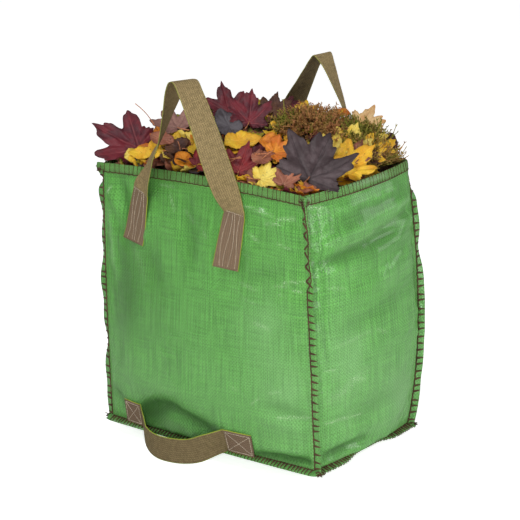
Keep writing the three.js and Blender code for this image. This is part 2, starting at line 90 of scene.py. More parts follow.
# Folds in each wall: where a ridge starts and ends, across the wall from its first corner and above
# the ground, then its width and how far it stands out, or in where it is a valley
FOLDS = {
    "front": (
        (2, 505, 30, 470, 9, 5.0), (22, 500, 66, 420, 13, 8.0), (46, 512, 60, 420, 15, -8.0),
        (106, 404, 128, 500, 13, 6.0), (10, 470, 32, 330, 10, 4.0), (118, 395, 150, 330, 22, -4.0),
        (165, 470, 205, 380, 20, 4.0), (215, 505, 235, 395, 22, -5.5), (262, 470, 270, 360, 22, 3.5),
        (355, 380, 430, 402, 14, -3.5), (294, 392, 300, 430, 14, 5.0), (348, 388, 352, 440, 12, -5.0),
        (330, 330, 470, 350, 22, 2.5), (398, 500, 470, 470, 12, 3.5), (344, 511, 425, 500, 7, 3.0),
        (84, 66, 126, 88, 15, -11.0), (126, 88, 176, 94, 16, -12.0), (176, 94, 285, 62, 15, -11.0),
        (96, 56, 150, 70, 13, -8.0), (60, 132, 250, 136, 22, 6.0), (400, 150, 484, 136, 12, -4.5),
        (380, 120, 480, 112, 13, 4.5), (360, 40, 488, 48, 9, -14.0), (385, 64, 486, 70, 8, 5.0),
        (20, 330, 34, 120, 22, -3.5), (60, 300, 70, 150, 26, 3.0), (0, 460, 60, 380, 10, 3.0),
        (8, 92, 60, 60, 12, -7.0),
    ),
    "right": (
        (40, 512, 240, 511, 8, 2.5), (315, 488, 150, 476, 10, 5.5), (150, 476, 30, 450, 12, 5.0),
        (315, 466, 160, 452, 8, -5.0), (318, 462, 230, 434, 11, 4.5), (275, 438, 130, 436, 11, -6.5),
        (130, 436, 20, 424, 12, -6.0), (300, 446, 120, 402, 17, 5.5), (302, 425, 306, 300, 8, 6.0),
        (286, 400, 290, 280, 10, -4.5), (290, 330, 60, 292, 16, -3.5), (260, 380, 80, 345, 16, 3.5),
        (300, 260, 100, 232, 20, 3.0), (18, 54, 120, 60, 11, -11.0), (120, 58, 200, 38, 10, -7.0),
        (100, 46, 205, 46, 13, 8.0), (30, 90, 230, 84, 16, 5.0), (60, 120, 220, 132, 20, -3.0),
        (262, 150, 300, 250, 14, 4.0), (27, 520, 27, 180, 3.5, -1.8), (300, 240, 306, 90, 10, 4.0),
    ),
    "back": (
        (60, 470, 180, 400, 24, 4.0), (200, 480, 260, 380, 22, -4.0), (330, 460, 420, 420, 20, 4.0),
        (60, 90, 420, 88, 16, -5.0), (120, 220, 400, 250, 34, 3.0), (440, 430, 470, 300, 16, -3.0),
    ),
    "left": (
        (30, 490, 200, 430, 18, 4.0), (60, 440, 260, 380, 16, -4.0), (40, 90, 280, 84, 14, -5.0),
        (150, 300, 250, 200, 26, 3.0), (270, 480, 290, 330, 12, -3.0),
    ),
}

# Where a sewn strap holds a wall flat: start, end and width
FLATS = ((78, 404, 102, 508, 17), (330, 498, 320, 394, 20), (44, 57, 90, 57, 30), (302, 57, 366, 57, 32))

# Creases whitened by sharp bending, partly real whitening and partly painted glints: start, end, width and
# strength
CREASES = {
    "front": (
        (3, 490, 20, 506, 4, 1.2), (141, 523, 177, 521, 4, 0.5), (168, 508, 180, 478, 3.5, 0.8),
        (205, 482, 230, 460, 3.5, 0.6), (344, 511, 425, 503, 3, 0.8), (430, 498, 470, 506, 5, 1.0),
        (398, 486, 446, 492, 3, 0.8), (362, 462, 384, 450, 4, 0.8), (428, 453, 458, 450, 3, 0.8),
        (440, 385, 490, 394, 2.4, 1.2), (344, 369, 384, 361, 3.5, 0.6), (420, 375, 454, 380, 3, 0.6),
        (461, 374, 482, 373, 1.8, 0.9), (432, 361, 459, 359, 1.8, 0.7), (360, 341, 382, 336, 1.8, 0.6),
        (378, 301, 410, 294, 4, 0.7), (408, 172, 434, 179, 2.5, 0.8), (424, 128, 486, 136, 3.2, 1.3),
        (369, 143, 388, 159, 3, 0.5), (326, 170, 340, 165, 3, 0.5), (255, 452, 268, 438, 3, 0.6),
        (60, 430, 110, 340, 12, 0.3), (330, 430, 372, 414, 3, 0.4),
    ),
    "right": (
        (6, 528, 42, 521, 5, 0.9), (16, 514, 38, 510, 3, 0.7), (8, 482, 24, 484, 2.2, 0.9),
        (2, 391, 16, 391, 2.4, 1.2), (34, 376, 72, 366, 4, 0.5), (20, 222, 44, 222, 2.2, 1.1),
        (74, 195, 112, 182, 4, 0.6), (22, 122, 104, 116, 3.2, 1.3), (142, 270, 168, 257, 4, 0.5),
        (40, 262, 130, 272, 5, 0.35), (36, 32, 74, 42, 2.2, 0.9), (268, 468, 275, 450, 3, 0.6),
        (60, 440, 260, 462, 10, 0.35), (30, 160, 110, 200, 14, 0.3),
    ),
    "back": ((30, 480, 90, 440, 4, 0.6), (400, 470, 470, 440, 4, 0.6), (60, 120, 180, 110, 3, 0.6)),
    "left": ((20, 470, 70, 430, 4, 0.6), (200, 400, 290, 420, 3, 0.6), (30, 130, 120, 120, 3, 0.5)),
}

# Painted light on the walls: strokes of painted sheen that turn the sheet paler, and painted shade where the
# strength is negative: start, end, width, strength
SHEEN_AND_SHADE_STROKES = {
    "front": (
        (8, 460, 32, 330, 12, 0.8), (22, 330, 10, 60, 16, 0.35), (90, 150, 250, 130, 48, 0.26),
        (130, 60, 224, 50, 12, 0.9), (380, 330, 450, 110, 60, 0.6), (70, 60, 110, 62, 14, 0.4),
        (56, 420, 66, 230, 36, -0.72), (110, 400, 150, 200, 60, -0.2), (420, 440, 440, 200, 40, 0.3),
    ),
    "right": (
        (300, 486, 41, 453, 9, 0.9), (240, 512, 41, 510, 8, 0.5), (306, 440, 308, 300, 11, 1.0),
        (308, 300, 296, 120, 16, 0.8), (250, 110, 290, 60, 46, 0.75), (60, 240, 250, 90, 60, 0.4),
        (60, 330, 80, 110, 44, 0.4), (41, 395, 120, 400, 12, 0.4), (150, 350, 260, 365, 14, 0.3),
        (60, 490, 270, 505, 26, -0.52), (60, 420, 250, 425, 24, -0.36),
    ),
    "back": ((60, 160, 420, 140, 60, 0.4), (100, 440, 300, 420, 20, 0.4)),
    "left": ((60, 160, 240, 140, 60, 0.4), (40, 440, 220, 400, 20, 0.5)),
}

# Leaf outlines from the middle of the blade: degrees from the tip, and the share of the leaf's length
OUTLINES = {
    "maple": (
        (0, 1), (8, 0.82), (14, 0.84), (21, 0.66), (28, 0.56), (35, 0.68), (42, 0.86), (48, 0.93),
        (55, 0.77), (63, 0.76), (72, 0.57), (80, 0.48), (92, 0.55), (104, 0.62), (118, 0.46),
        (135, 0.38), (155, 0.28), (176, 0.12), (180, 0.1),
    ),
    "oval": (
        (0, 1), (12, 0.88), (28, 0.76), (46, 0.67), (66, 0.61), (88, 0.6), (110, 0.62), (132, 0.66),
        (154, 0.7), (172, 0.72), (180, 0.72),
    ),
}

# Leaves on top of the heap: kind, colour, x, y, length, heading, the way it faces, slope, and its
# stalk's length and turn
LEAVES = {
    "brown_oval_leaf": ("oval", "umber", -92, -118, 30, 70, -50, 30, 0.3, 0),
    "mauve_maple_leaf": ("maple", "mauve", -128, -72, 52, 150, -60, 24, 0.5, -30),
    "pink_oval_leaf": ("oval", "rust", -122, -126, 28, 20, -40, 38, 0, 0),
    "yellow_round_leaf": ("oval", "yellow", -168, -128, 25, 215, -50, 40, 0, 0),
    "yellow_gap_leaf": ("oval", "yellow", -44, -116, 23, 40, -50, 30, 0.5, 0),
    "yellow_back_leaf": ("maple", "yellow", 52, 78, 36, 60, -50, 30, 0, 0),
    "tan_maple_leaf": ("maple", "tan", 158, 147, 42, 50, -50, 30, 0, 0),
    "plum_back_leaf": ("maple", "plum", 30, 26, 52, 80, -50, 30, 0, 0),
    "slate_oval_leaf": ("oval", "slate", -8, -66, 34, 150, -52, 42, 0, 0),
    "yellow_middle_leaf": ("oval", "yellow", 50, -84, 38, 40, -52, 32, 0, 0),
    "crimson_top_leaf": ("maple", "crimson", 16, -34, 78, 122, -52, 50, 0.4, 20),
    "crimson_back_leaf": ("maple", "crimson", -64, 6, 58, 140, -56, 40, 0, 0),
    "orange_middle_leaf": ("maple", "orange", 126, -88, 44, 70, -50, 36, 0.8, 20),
    "rust_folded_leaf": ("oval", "rust", 104, -112, 24, 60, -30, 40, 0, 0),
    "crimson_front_leaf": ("maple", "red", 64, -128, 44, 110, -52, 44, 0.8, -20),
    "lemon_front_leaf": ("maple", "lemon", 128, -138, 38, 60, -52, 36, 0.6, 30),
    "lemon_maple_leaf": ("maple", "lemon", 196, 34, 56, 110, -48, 52, 0, 0),
    "yellow_maple_leaf": ("maple", "yellow", 214, -8, 86, 84, -42, 46, 0, 0),
    "plum_maple_leaf": ("maple", "plum", 192, -98, 110, 105, -48, 42, 0.3, 10),
    "rust_front_leaf": ("maple", "rust", 176, -138, 38, 100, -60, 40, 0, 0),
    "crimson_maple_leaf": ("maple", "crimson", -204, -98, 80, 188, -54, 46, 0, 0),
}

# How a leaf's finish differs from its CAD leaf: size, moves along X, Y and Z, and its look
FITTED = {
    "crimson_top_leaf": (0.78, 0, 0, 0, "crimson"),
    "crimson_maple_leaf": (1.08, -7, 0, -11, "crimson"),
    "plum_maple_leaf": (0.9, 12, 0, -2, "plum"),
    "yellow_maple_leaf": (0.72, 8, 0, -2, "yellow"),
    "rust_front_leaf": (0.95, 0, 0, -8, "rust"),
    "lemon_front_leaf": (1.2, -4, 0, -2, "lemon"),
    "crimson_front_leaf": (1.2, 2, 0, -10, "red"),
    "yellow_middle_leaf": (1.0, -18, 0, 0, "yellow"),
    "rust_folded_leaf": (1.1, 0, 0, -10, "rust"),
    "orange_middle_leaf": (1.0, -10, 0, 2, "orange"),
    "slate_oval_leaf": (1.15, 0, 0, 6, "slate"),
    "mauve_maple_leaf": (1.15, 0, 0, 6, "mauve"),
    "plum_back_leaf": (0.9, 0, 0, -10, "umber"),
    "yellow_back_leaf": (1.0, 0, 0, -12, "yellow"),
    "tan_maple_leaf": (1.3, -18, 0, 0, "tan"),
    "lemon_maple_leaf": (1.0, -4, 0, -14, "lemon"),
}

# More leaves on top of the heap: kind, colour, x, y, length, heading, the way it faces, and slope
PLACED = (
    ("maple", "umber", -34, 92, 38, 100, -60, 48), ("oval", "umber", -10, 96, 26, 70, -40, 56),
    ("maple", "crimson", 6, 100, 26, 60, -50, 50), ("oval", "green", 28, -2, 26, 50, -50, 40),
    ("oval", "rust", 76, -106, 22, 30, -50, 46), ("maple", "lemon", 186, -10, 44, 110, -45, 56),
    ("maple", "yellow", 208, 62, 46, 60, -45, 50), ("maple", "lemon", 204, 96, 34, 20, -40, 46),
    ("maple", "yellow", 214, -30, 40, 70, -35, 50), ("oval", "umber", -98, -134, 22, 60, -50, 50),
    ("oval", "orange", -58, -138, 24, 20, -60, 52), ("maple", "red", -20, -142, 30, 80, -60, 50),
    ("oval", "yellow", -128, -138, 24, 130, -60, 50), ("maple", "crimson", -160, -76, 30, 60, -60, 40),
    ("oval", "rust", -146, -60, 24, 100, -50, 40), ("oval", "lemon", -186, -128, 26, 30, -60, 50),
    ("oval", "orange", -178, -108, 22, 70, -50, 40), ("oval", "umber", -14, -120, 24, 100, -50, 44),
    ("maple", "umber", 60, -144, 28, 60, -60, 46), ("oval", "rust", 112, -142, 24, 150, -40, 50),
    ("oval", "mauve", 150, -148, 28, 70, -60, 56), ("oval", "umber", 66, 8, 24, 60, -50, 40),
    ("oval", "orange", 90, -66, 30, 10, -50, 36), ("maple", "rust", 216, 20, 36, 60, -40, 40),
    ("oval", "umber", 218, 62, 28, 30, -30, 40), ("maple", "yellow", 222, 100, 32, 80, -30, 44),
    ("oval", "umber", 216, 132, 26, 130, -30, 40), ("oval", "yellow", 222, -50, 26, 100, -30, 46),
    ("oval", "yellow", -112, -96, 20, 120, -50, 44),
)

# Stalks that stand out of the heap: one end and the other
LOOSE_STALKS = (
    (-206, -100, 652, -158, -94, 606), (64, -122, 590, 34, -146, 562), (18, -142, 570, 68, -124, 588),
    (-92, -112, 596, -70, -132, 566), (-30, -120, 596, -4, -140, 562), (120, -96, 604, 96, -128, 572),
    (30, 60, 640, 56, 30, 622),
)

# Leaf finishes: colour, the colour it turns to in patches, vein colour, and how spotted it is
LEAF_FINISHES = {
    "crimson": ((0.160, 0.012, 0.022), (0.072, 0.010, 0.018), (0.26, 0.045, 0.05), 0.25),
    "red": ((0.250, 0.016, 0.020), (0.12, 0.010, 0.015), (0.36, 0.07, 0.06), 0.2),
    "plum": ((0.082, 0.056, 0.060), (0.040, 0.024, 0.026), (0.020, 0.012, 0.014), 0.15),
    "slate": ((0.105, 0.092, 0.105), (0.050, 0.038, 0.045), (0.035, 0.026, 0.030), 0.2),
    "mauve": ((0.230, 0.105, 0.090), (0.300, 0.160, 0.125), (0.12, 0.05, 0.045), 0.35),
    "umber": ((0.060, 0.020, 0.013), (0.120, 0.045, 0.020), (0.16, 0.08, 0.04), 0.4),
    "rust": ((0.400, 0.145, 0.080), (0.220, 0.070, 0.040), (0.50, 0.25, 0.15), 0.4),
    "orange": ((0.800, 0.290, 0.016), (0.600, 0.140, 0.012), (0.52, 0.20, 0.02), 0.45),
    "tan": ((0.820, 0.560, 0.270), (0.700, 0.360, 0.130), (0.56, 0.28, 0.09), 0.45),
    "yellow": ((0.830, 0.530, 0.030), (0.740, 0.360, 0.016), (0.62, 0.36, 0.03), 0.4),
    "lemon": ((0.860, 0.680, 0.140), (0.780, 0.520, 0.050), (0.66, 0.46, 0.08), 0.35),
    "green": ((0.240, 0.230, 0.018), (0.480, 0.360, 0.016), (0.36, 0.30, 0.03), 0.4),
}

# Millimetres between a wall's points, and how many times as fine a shown and a hidden wall are made
WALL_STEP = 3.75
SHOWN_WALL, HIDDEN_WALL = 1.34, 0.85

# Shares of a seam allowance at which its rows of points lie, from its edge inward
FIN_ROWS = np.array([1, 0.66, 0.33])

# Rows of points round the rim's turn and down the hem, and columns and rows of the base
TURN_ROWS, HEM_ROWS = 5, 6
BASE_COLUMNS, BASE_ROWS = 60, 42

# Points along a running thread of the rim or base and of a corner, and sides of a thread
RUN_POINTS, CORNER_POINTS = 120, 150
THREAD_SIDES = 5

# Places along the free part of a carrying handle and of the tipping handle
CARRY_STATIONS, TIPPING_STATIONS = 190, 110

# Spacing of the stitches in a carrying handle's patches and the tipping handle's, how much of it is
# left free at each end of a stitch, and their radius
PATCH_PITCH, BOX_PITCH = 4.2, 3.6
STITCH_GAP = 0.12
STITCH_RADIUS = 0.5

# How long a big leaf is at least, and rings and spokes of a big, a small and a scattered leaf
BIG_LEAF = 50.0
BIG_LEAF_GRID, SMALL_LEAF_GRID = (14, 190), (9, 110)
SCATTERED_RINGS, SCATTERED_SPOKES = np.array([0.0, 0.36, 0.7, 1.0]), 48

# How strongly a top leaf's edge is ruffled, and the thickness of its blade and of a scattered leaf's
LEAF_RUFFLE = 0.09
BLADE_THICK, SCATTERED_THICK = 0.5, 0.4

# Where a blade's foot lies behind its middle, as a share of the leaf's length, and its side veins' angles
FEET = {"maple": 0.1, "oval": 0.72}
SIDE_VEINS = (0.765, 1.65)

# Camera: azimuth, elevation and roll in degrees, the point it aims at, metres from there, and its lens
CAMERA_TURN = (38.26, 16.224, -0.917)
CAMERA_AIM = (5.586, 4.405, 355.044)
CAMERA_DISTANCE, CAMERA_LENS = 3.8, 138.149

# Lamps: place, the point it aims at, size and power
LAMPS = {
    "near_lamp": ((0.85, -1.30, 0.42), (0, -0.1, 0.22), (0.5, 0.5), 11),
    "right_lamp": ((1.9, 0.2, 0.42), (0, 0, 0.15), (0.9, 0.6), 11.5),
    "left_lamp": ((-2.2, -1.7, 1.3), (0, 0, 0.35), (0.4, 0.5), 11),
    "back_lamp": ((1.9, 2.3, 0.9), (0, 0, 0.35), (0.8, 1.4), 13),
    "top_lamp": ((0.2, -0.9, 2.3), (0, 0, 0.5), (1.2, 1.0), 22),
}

# Cushions of moss: x, y, width, depth, height
MOSSES = {
    "moss_middle": (94, 24, 82, 92, 20),
    "moss_right": (186, 82, 78, 90, 20),
}

# How far the stems of a cushion are moved and spread past its CAD piece, and how long they are
MOSS_MOVE, MOSS_SPREAD = (16, 6), (1.45, 1.3)
MOSS_REACH = 19.0


# Shapes


def mix(a, b, t):
    """From a at t = 0 to b at t = 1, along a straight line."""
    return a + (b - a) * t


def crowded(count):
    """Places from -1 to 1 that crowd toward both ends, by a sine."""
    return np.sin(np.linspace(-1, 1, count) * 0.46 * np.pi) / np.sin(0.46 * np.pi)


def unit(v):
    """Each vector divided by its length."""
    return v / np.maximum(np.linalg.norm(v, axis=-1, keepdims=True), 1e-9)


def square_to(v, along):
    """Each vector with its part along the given way taken out, at length 1."""
    return unit(v - along * np.sum(v * along, -1, keepdims=True))


def lengths_along(points):
    """How far along a line of points each of them lies."""
    return np.concatenate([[0], np.cumsum(np.linalg.norm(np.diff(points, axis=0), axis=1))])


def read_off(where, places, values):
    """Every column of values, given at the places, read off in between by straight lines."""
    return np.stack([np.interp(where, places, values[:, k]) for k in range(values.shape[1])], -1)


def jittered(count, jitter, rng):
    """Even places from 0 to 1, each moved at random by up to jitter times their spacing."""
    return (np.arange(count) + 0.5 + rng.uniform(-jitter, jitter, count)) / count


def smooth(t):
    """0 below 0 and 1 above 1, with 3 t^2 - 2 t^3 between."""
    t = np.clip(t, 0, 1)
    return t * t * (3 - 2 * t)


def turned(v, degrees):
    """Each vector turned about the vertical: x cos - y sin, x sin + y cos."""
    c, s = np.cos(np.radians(degrees)), np.sin(np.radians(degrees))
    x, y, z = v[..., 0], v[..., 1], v[..., 2]
    return np.stack(np.broadcast_arrays(c * x - s * y, s * x + c * y, z), -1)


def corner_point(index, t):
    """A corner seam: half the bag's size at share t of the height, plus swell times sin(pi t^0.8) on
    the diagonal."""
    sx, sy, swell, _, dip = CORNERS[index]
    t = np.asarray(t, float)
    out = swell * np.sin(np.pi * t**0.8) * np.sqrt(0.5)
    x = sx * (mix(BASE_WIDTH, TOP_WIDTH, t) / 2 + out)
    y = sy * (mix(BASE_DEPTH, TOP_DEPTH, t) / 2 + out)
    z = SEAM_LIFT - BASE_SAG + t * (WALL_HEIGHT + BASE_SAG) - dip * t * t
    return np.stack([x, y, z], -1)


def allowance_direction(index, t):
    """The diagonal at a corner, turned by the seam's own turn, by two sine ripples up the seam and by
    how its allowance is pressed aside."""
    sx, sy, _, turn, _ = CORNERS[index]
    ripple = 13 * np.sin(15 * t + 2.3 * index) + 9 * np.sin(37 * t + index) - 3
    if index == 1:
        pressed = -26 * smooth((t - 0.62) / 0.2) - 0.5 * ripple
    elif index == 0:
        pressed = -58 - 40 * np.exp(-(((t - 0.93) / 0.02) ** 2)) + 25 * smooth((t - 0.95) / 0.03)
    else:
        pressed = (100 if index == 2 else -30) * smooth((t - 0.84) / 0.1)
        pressed = pressed + (40 * smooth((t - 0.45) / 0.25) if index == 2 else 0)
    return turned(unit(np.array([sx, sy, 0.0])), turn + ripple * np.clip(6 * t, 0, 1) + pressed)


def wall_point(side, u, t):
    """The middle of a wall: the line between its corners at u, swelled by (1 - u^2)^0.85 times belly
    and bow."""
    corner, out, belly, bow, rise, _ = WALLS[side]
    u, t = np.broadcast_arrays(np.asarray(u, float), np.asarray(t, float))
    start, end = corner_point(corner, t), corner_point((corner + 1) % 4, t)
    round_out = np.clip(1 - u * u, 0, 1)
    swell = round_out**0.85 * (
        belly * np.sin(np.pi * np.clip(t, 0, 1) ** 0.55) ** 0.8 + mix(BASE_BOW, bow, t * t * (3 - 2 * t))
    )
    point = mix(start, end, (u[..., None] + 1) / 2)
    point[..., 0] += out[0] * swell
    point[..., 1] += out[1] * swell
    point[..., 2] += round_out * (rise * t * t + BASE_SAG * (1 - t))
    return point


def wall_normal(side, u, t):
    """Square to the wall: the cross product of its steps along u and along t."""
    d = 0.008
    across = wall_point(side, np.minimum(u + d, 1), t) - wall_point(side, np.maximum(u - d, -1), t)
    upward = wall_point(side, u, np.minimum(t + d, 1)) - wall_point(side, u, np.maximum(t - d, 0))
    return unit(np.cross(across, upward))


def strokes(table, s, z):
    """The sum over strokes of strength times exp(-(distance / width)^2), fading toward each end."""
    total = np.zeros(np.broadcast(s, z).shape)
    for s0, z0, s1, z1, width, strength in table:
        ds, dz = s1 - s0, z1 - z0
        length = np.hypot(ds, dz)
        where = ((s - s0) * ds + (z - z0) * dz) / length**2
        near = np.clip(where, 0, 1)
        distance = np.hypot(s - s0 - near * ds, z - z0 - near * dz)
        fade = 0.45 + 0.55 * np.sin(np.pi * near) ** 0.6
        total = total + strength * fade * np.exp(-((distance / width) ** 2))
    return total


def relief(side, u, t):
    """How far a wall's folds stand out: the strokes of its table, broad soft lumps, narrow crinkles in
    places, and puckers beside its seams."""
    width = WALLS[side][5]
    s, z = (u + 1) / 2 * width, SEAM_LIFT + t * WALL_HEIGHT
    k = list(WALLS).index(side) * 1.7
    lumps = 1.3 * np.sin(s / 41 + z / 97 + k) * np.sin(z / 63 - s / 120 + k)
    lumps = lumps + 0.7 * np.sin(s / 17 + 2 * np.sin(z / 70))
    beside = np.minimum(s, width - s)
    pucker = 1.5 * np.exp(-((beside - 9) / 13) ** 2) * np.sin(z / 5.6 + 3 * np.sin(z / 37 + k) + s / 30)
    low = 1.6 * np.exp(-((z - 44) / 11) ** 2) * np.sin(s / 7.5 + 2 * np.sin(s / 41 + k))
    top = 1.0 * np.exp(-((z - 512) / 16) ** 2) * np.sin(s / 11 + 2 * np.sin(s / 53 + k))
    upright = s / 11.3 + 1.6 * np.sin(z / 27 + k) + 0.6 * np.sin(z / 8.1)
    level = z / 9.7 + 1.8 * np.sin(s / 31 + k) + 0.5 * np.sin(s / 9.2)
    ridges = [np.exp(-((np.sin(a) / 0.4) ** 2)) for a in (upright, level)]
    where = smooth(0.5 + np.sin(s / 61 + z / 47 + 2 * k) + 0.6 * np.sin(z / 29 - s / 37))
    lumps = lumps + 0.8 * where * (ridges[0] * 0.8 + ridges[1])
    edge = smooth(beside / 16) * smooth((z - SEAM_LIFT) / 9) * smooth((RIM - z) / 26)
    if side == "front":
        edge = edge * (1 - np.clip(1.5 * strokes([(*flat, 1.0) for flat in FLATS], s, z), 0, 0.94))
    return edge * (strokes(FOLDS[side], s, z) + lumps + pucker + low + top)


def wall_surface(side, u, t):
    """The wall's middle with its folds: wall_point moved by relief along the wall's normal."""
    u, t = np.broadcast_arrays(np.asarray(u, float), np.asarray(t, float))
    return wall_point(side, u, t) + wall_normal(side, u, t) * relief(side, u, t)[..., None]


def wall_share(side, u, z):
    """The share of a wall's height at which it reaches height z."""
    low = wall_point(side, u, 0)[..., 2]
    return (z - low) / (wall_point(side, u, 1)[..., 2] - low)


def base_point(u, v):
    """The base filled in between its four seams, pressed down to the ground by a quarter sine inside them."""
    u, v = np.broadcast_arrays(np.asarray(u, float), np.asarray(v, float))
    s, t = ((u + 1) / 2)[..., None], ((v + 1) / 2)[..., None]
    c = [corner_point(i, np.zeros(())) for i in range(4)]
    point = (
        wall_point("front", u, 0) * (1 - t) + wall_point("back", -u, 0) * t
        + wall_point("left", -v, 0) * (1 - s) + wall_point("right", v, 0) * s
        - c[0] * (1 - s) * (1 - t) - c[1] * s * (1 - t) - c[2] * s * t - c[3] * (1 - s) * t
    )
    inset = np.minimum((1 - abs(u)) * BASE_WIDTH, (1 - abs(v)) * BASE_DEPTH) / 2
    point[..., 2] = mix(point[..., 2], CLOTH / 2, np.sin(np.pi / 2 * np.minimum(inset / FOOT_INSET, 1)))
    return point


def heap_at(x, y):
    """The litter's height: steep at the back and sides, easing to the front, with two sets of lumps."""
    across = np.minimum(abs(2 * x / TOP_WIDTH), 1)
    back = np.clip(2 * y / TOP_DEPTH, -1, 1)
    sideways = 1 - across ** mix(2.4, 7, (back + 1) / 2)
    along = 1 - abs(back) ** np.where(back < 0, 2, 7)
    lumps = 3 * np.sin(x / 27) * np.cos(y / 21) + 2 * np.sin(y / 13 + x / 19)
    return RIM - HEM + sideways * along * (HEAP + lumps)


# Meshes


def make_piece(name, points, faces, material, uv=None, values=None, replaces=()):
    """Puts points in millimetres and lists of like faces into a mesh, with its map and per-point values."""
    points = np.asarray(points, float).reshape(-1, 3) * MM
    mesh = bpy.data.meshes.new(name)
    loops = np.concatenate([f.ravel() for f in faces])
    totals = np.concatenate([np.full(len(f), f.shape[1]) for f in faces])
    starts = np.concatenate([[0], np.cumsum(totals)[:-1]])
    mesh.vertices.add(len(points))
    mesh.vertices.foreach_set("co", points.ravel().astype(np.float32))
    mesh.loops.add(len(loops))
    mesh.loops.foreach_set("vertex_index", loops.astype(np.int32))
    mesh.polygons.add(len(totals))
    mesh.polygons.foreach_set("loop_start", starts.astype(np.int32))
    mesh.polygons.foreach_set("use_smooth", np.full(len(totals), True))
    if uv is not None:
        layer = mesh.uv_layers.new(name="flat")
        layer.uv.foreach_set("vector", np.asarray(uv, np.float32).reshape(-1, 2)[loops].ravel())
    for key, value in (values or {}).items():
        mesh.attributes.new(key, "FLOAT", "POINT").data.foreach_set(
            "value", np.broadcast_to(value, points.shape[:-1]).astype(np.float32).ravel()
        )
    mesh.update(calc_edges=True)
    mesh.validate()
    mesh.materials.append(material)
    piece = bpy.data.objects.new(name, mesh)
    bpy.context.scene.collection.objects.link(piece)
    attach(piece, "root")
    if replaces:
        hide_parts(*replaces)
    return piece


def grid_faces(rows, columns, start=0, wrap=False):
    """Four-sided faces between neighbouring rows and columns of a grid of points."""
    i = np.arange(rows - 1)[:, None]
    j = np.arange(columns if wrap else columns - 1)[None, :]
    k = (j + 1) % columns
    corners = (i * columns + j, i * columns + k, (i + 1) * columns + k, (i + 1) * columns + j)
    return np.stack(np.broadcast_arrays(*corners), -1).reshape(-1, 4) + start


def tubes(paths, radius, sides, across):
    """Rods along many like paths: rings of the given radius square to each path, closed at both ends."""
    count, steps = paths.shape[:2]
    tangent = unit(np.gradient(paths, axis=1))
    across = np.broadcast_to(across, paths.shape)
    first = square_to(across, tangent)
    second = np.cross(tangent, first)
    angle = 2 * np.pi * np.arange(sides) / sides
    radius = np.broadcast_to(np.asarray(radius, float), (count, steps))[..., None, None]
    ring = first[:, :, None] * np.cos(angle)[:, None] + second[:, :, None] * np.sin(angle)[:, None]
    points = paths[:, :, None] + ring * radius
    one = grid_faces(steps, sides, wrap=True)
    offsets = np.arange(count)[:, None, None] * steps * sides
    quads = (one[None] + offsets).reshape(-1, 4)
    cap = np.arange(sides)[None]
    ends = np.arange(count)[:, None] * steps * sides
    caps = np.concatenate([cap[:, ::-1] + ends, cap + ends + (steps - 1) * sides])
    return points.reshape(-1, 3), [quads, caps]


def joined(parts):
    """Several lists of points and faces as one."""
    points, faces, start = [], {}, 0
    for p, f in parts:
        for block in f:
            faces.setdefault(block.shape[1], []).append(block + start)
        points.append(p)
        start += len(p)
    return np.concatenate(points), [np.concatenate(blocks) for blocks in faces.values()]


def thicken(piece, thickness):
    """Gives a sheet its thickness in millimetres, half of it to each side."""
    modifier = piece.modifiers.new("Solidify", "SOLIDIFY")
    modifier.thickness, modifier.offset = thickness * MM, 0.0


# Materials


class Nodes:
    """Short calls for adding shader nodes to a material or a group."""

    def __init__(self, tree):
        self.tree = tree

    def add(self, kind, values=(), **settings):
        node = self.tree.nodes.new(kind)
        for key, value in settings.items():
            setattr(node, key, value)
        for key, value in dict(values).items():
            socket = node.inputs[key]
            if isinstance(value, bpy.types.NodeSocket):
                self.tree.links.new(value, socket)
            elif isinstance(value, (tuple, list)) and socket.type == "RGBA":
                socket.default_value = (*value[:3], 1)
            else:
                socket.default_value = value
        return node

    def math(self, operation, a, b=0.0, clamp=False):
        return self.add("ShaderNodeMath", {0: a, 1: b}, operation=operation, use_clamp=clamp).outputs[0]

    def product(self, a, b, clamp=False):
        return self.math("MULTIPLY", a, b, clamp=clamp)

    def total(self, a, b, clamp=False):
        return self.math("ADD", a, b, clamp=clamp)

    def less(self, a, b):
        return self.math("SUBTRACT", a, b)

    def attribute(self, name):
        return self.add("ShaderNodeAttribute", attribute_name=name).outputs["Fac"]

    def flat_map(self):
        return self.add("ShaderNodeUVMap", uv_map="flat").outputs[0]

    def place(self):
        return self.add("ShaderNodeTexCoord").outputs["Object"]

    def blend(self, share, a, b):
        node = self.add("ShaderNodeMix", data_type="RGBA")
        for index, value in ((0, share), (6, a), (7, b)):
            if isinstance(value, bpy.types.NodeSocket):
                self.tree.links.new(value, node.inputs[index])
            else:
                node.inputs[index].default_value = value if index == 0 else (*value[:3], 1)
        return node.outputs[2]

    def paint(self, base, share, amount, colour):
        return self.blend(self.product(share, amount), base, colour)

    def noise(self, vector, scale, detail=2.0, roughness=0.5):
        return self.add(
            "ShaderNodeTexNoise", {"Vector": vector, "Scale": scale, "Detail": detail, "Roughness": roughness}
        ).outputs[0]

    def ramp(self, value, low, high):
        """0 below low and 1 above high, with a smooth step between."""
        return self.add(
            "ShaderNodeMapRange", {0: value, 1: low, 2: high, 3: 0.0, 4: 1.0}, interpolation_type="SMOOTHSTEP"
        ).outputs[0]

    def axis(self, vector, name):
        return self.add("ShaderNodeSeparateXYZ", {0: vector}).outputs[name]

    def join(self, x, y, z=0.0):
        return self.add("ShaderNodeCombineXYZ", {0: x, 1: y, 2: z}).outputs[0]


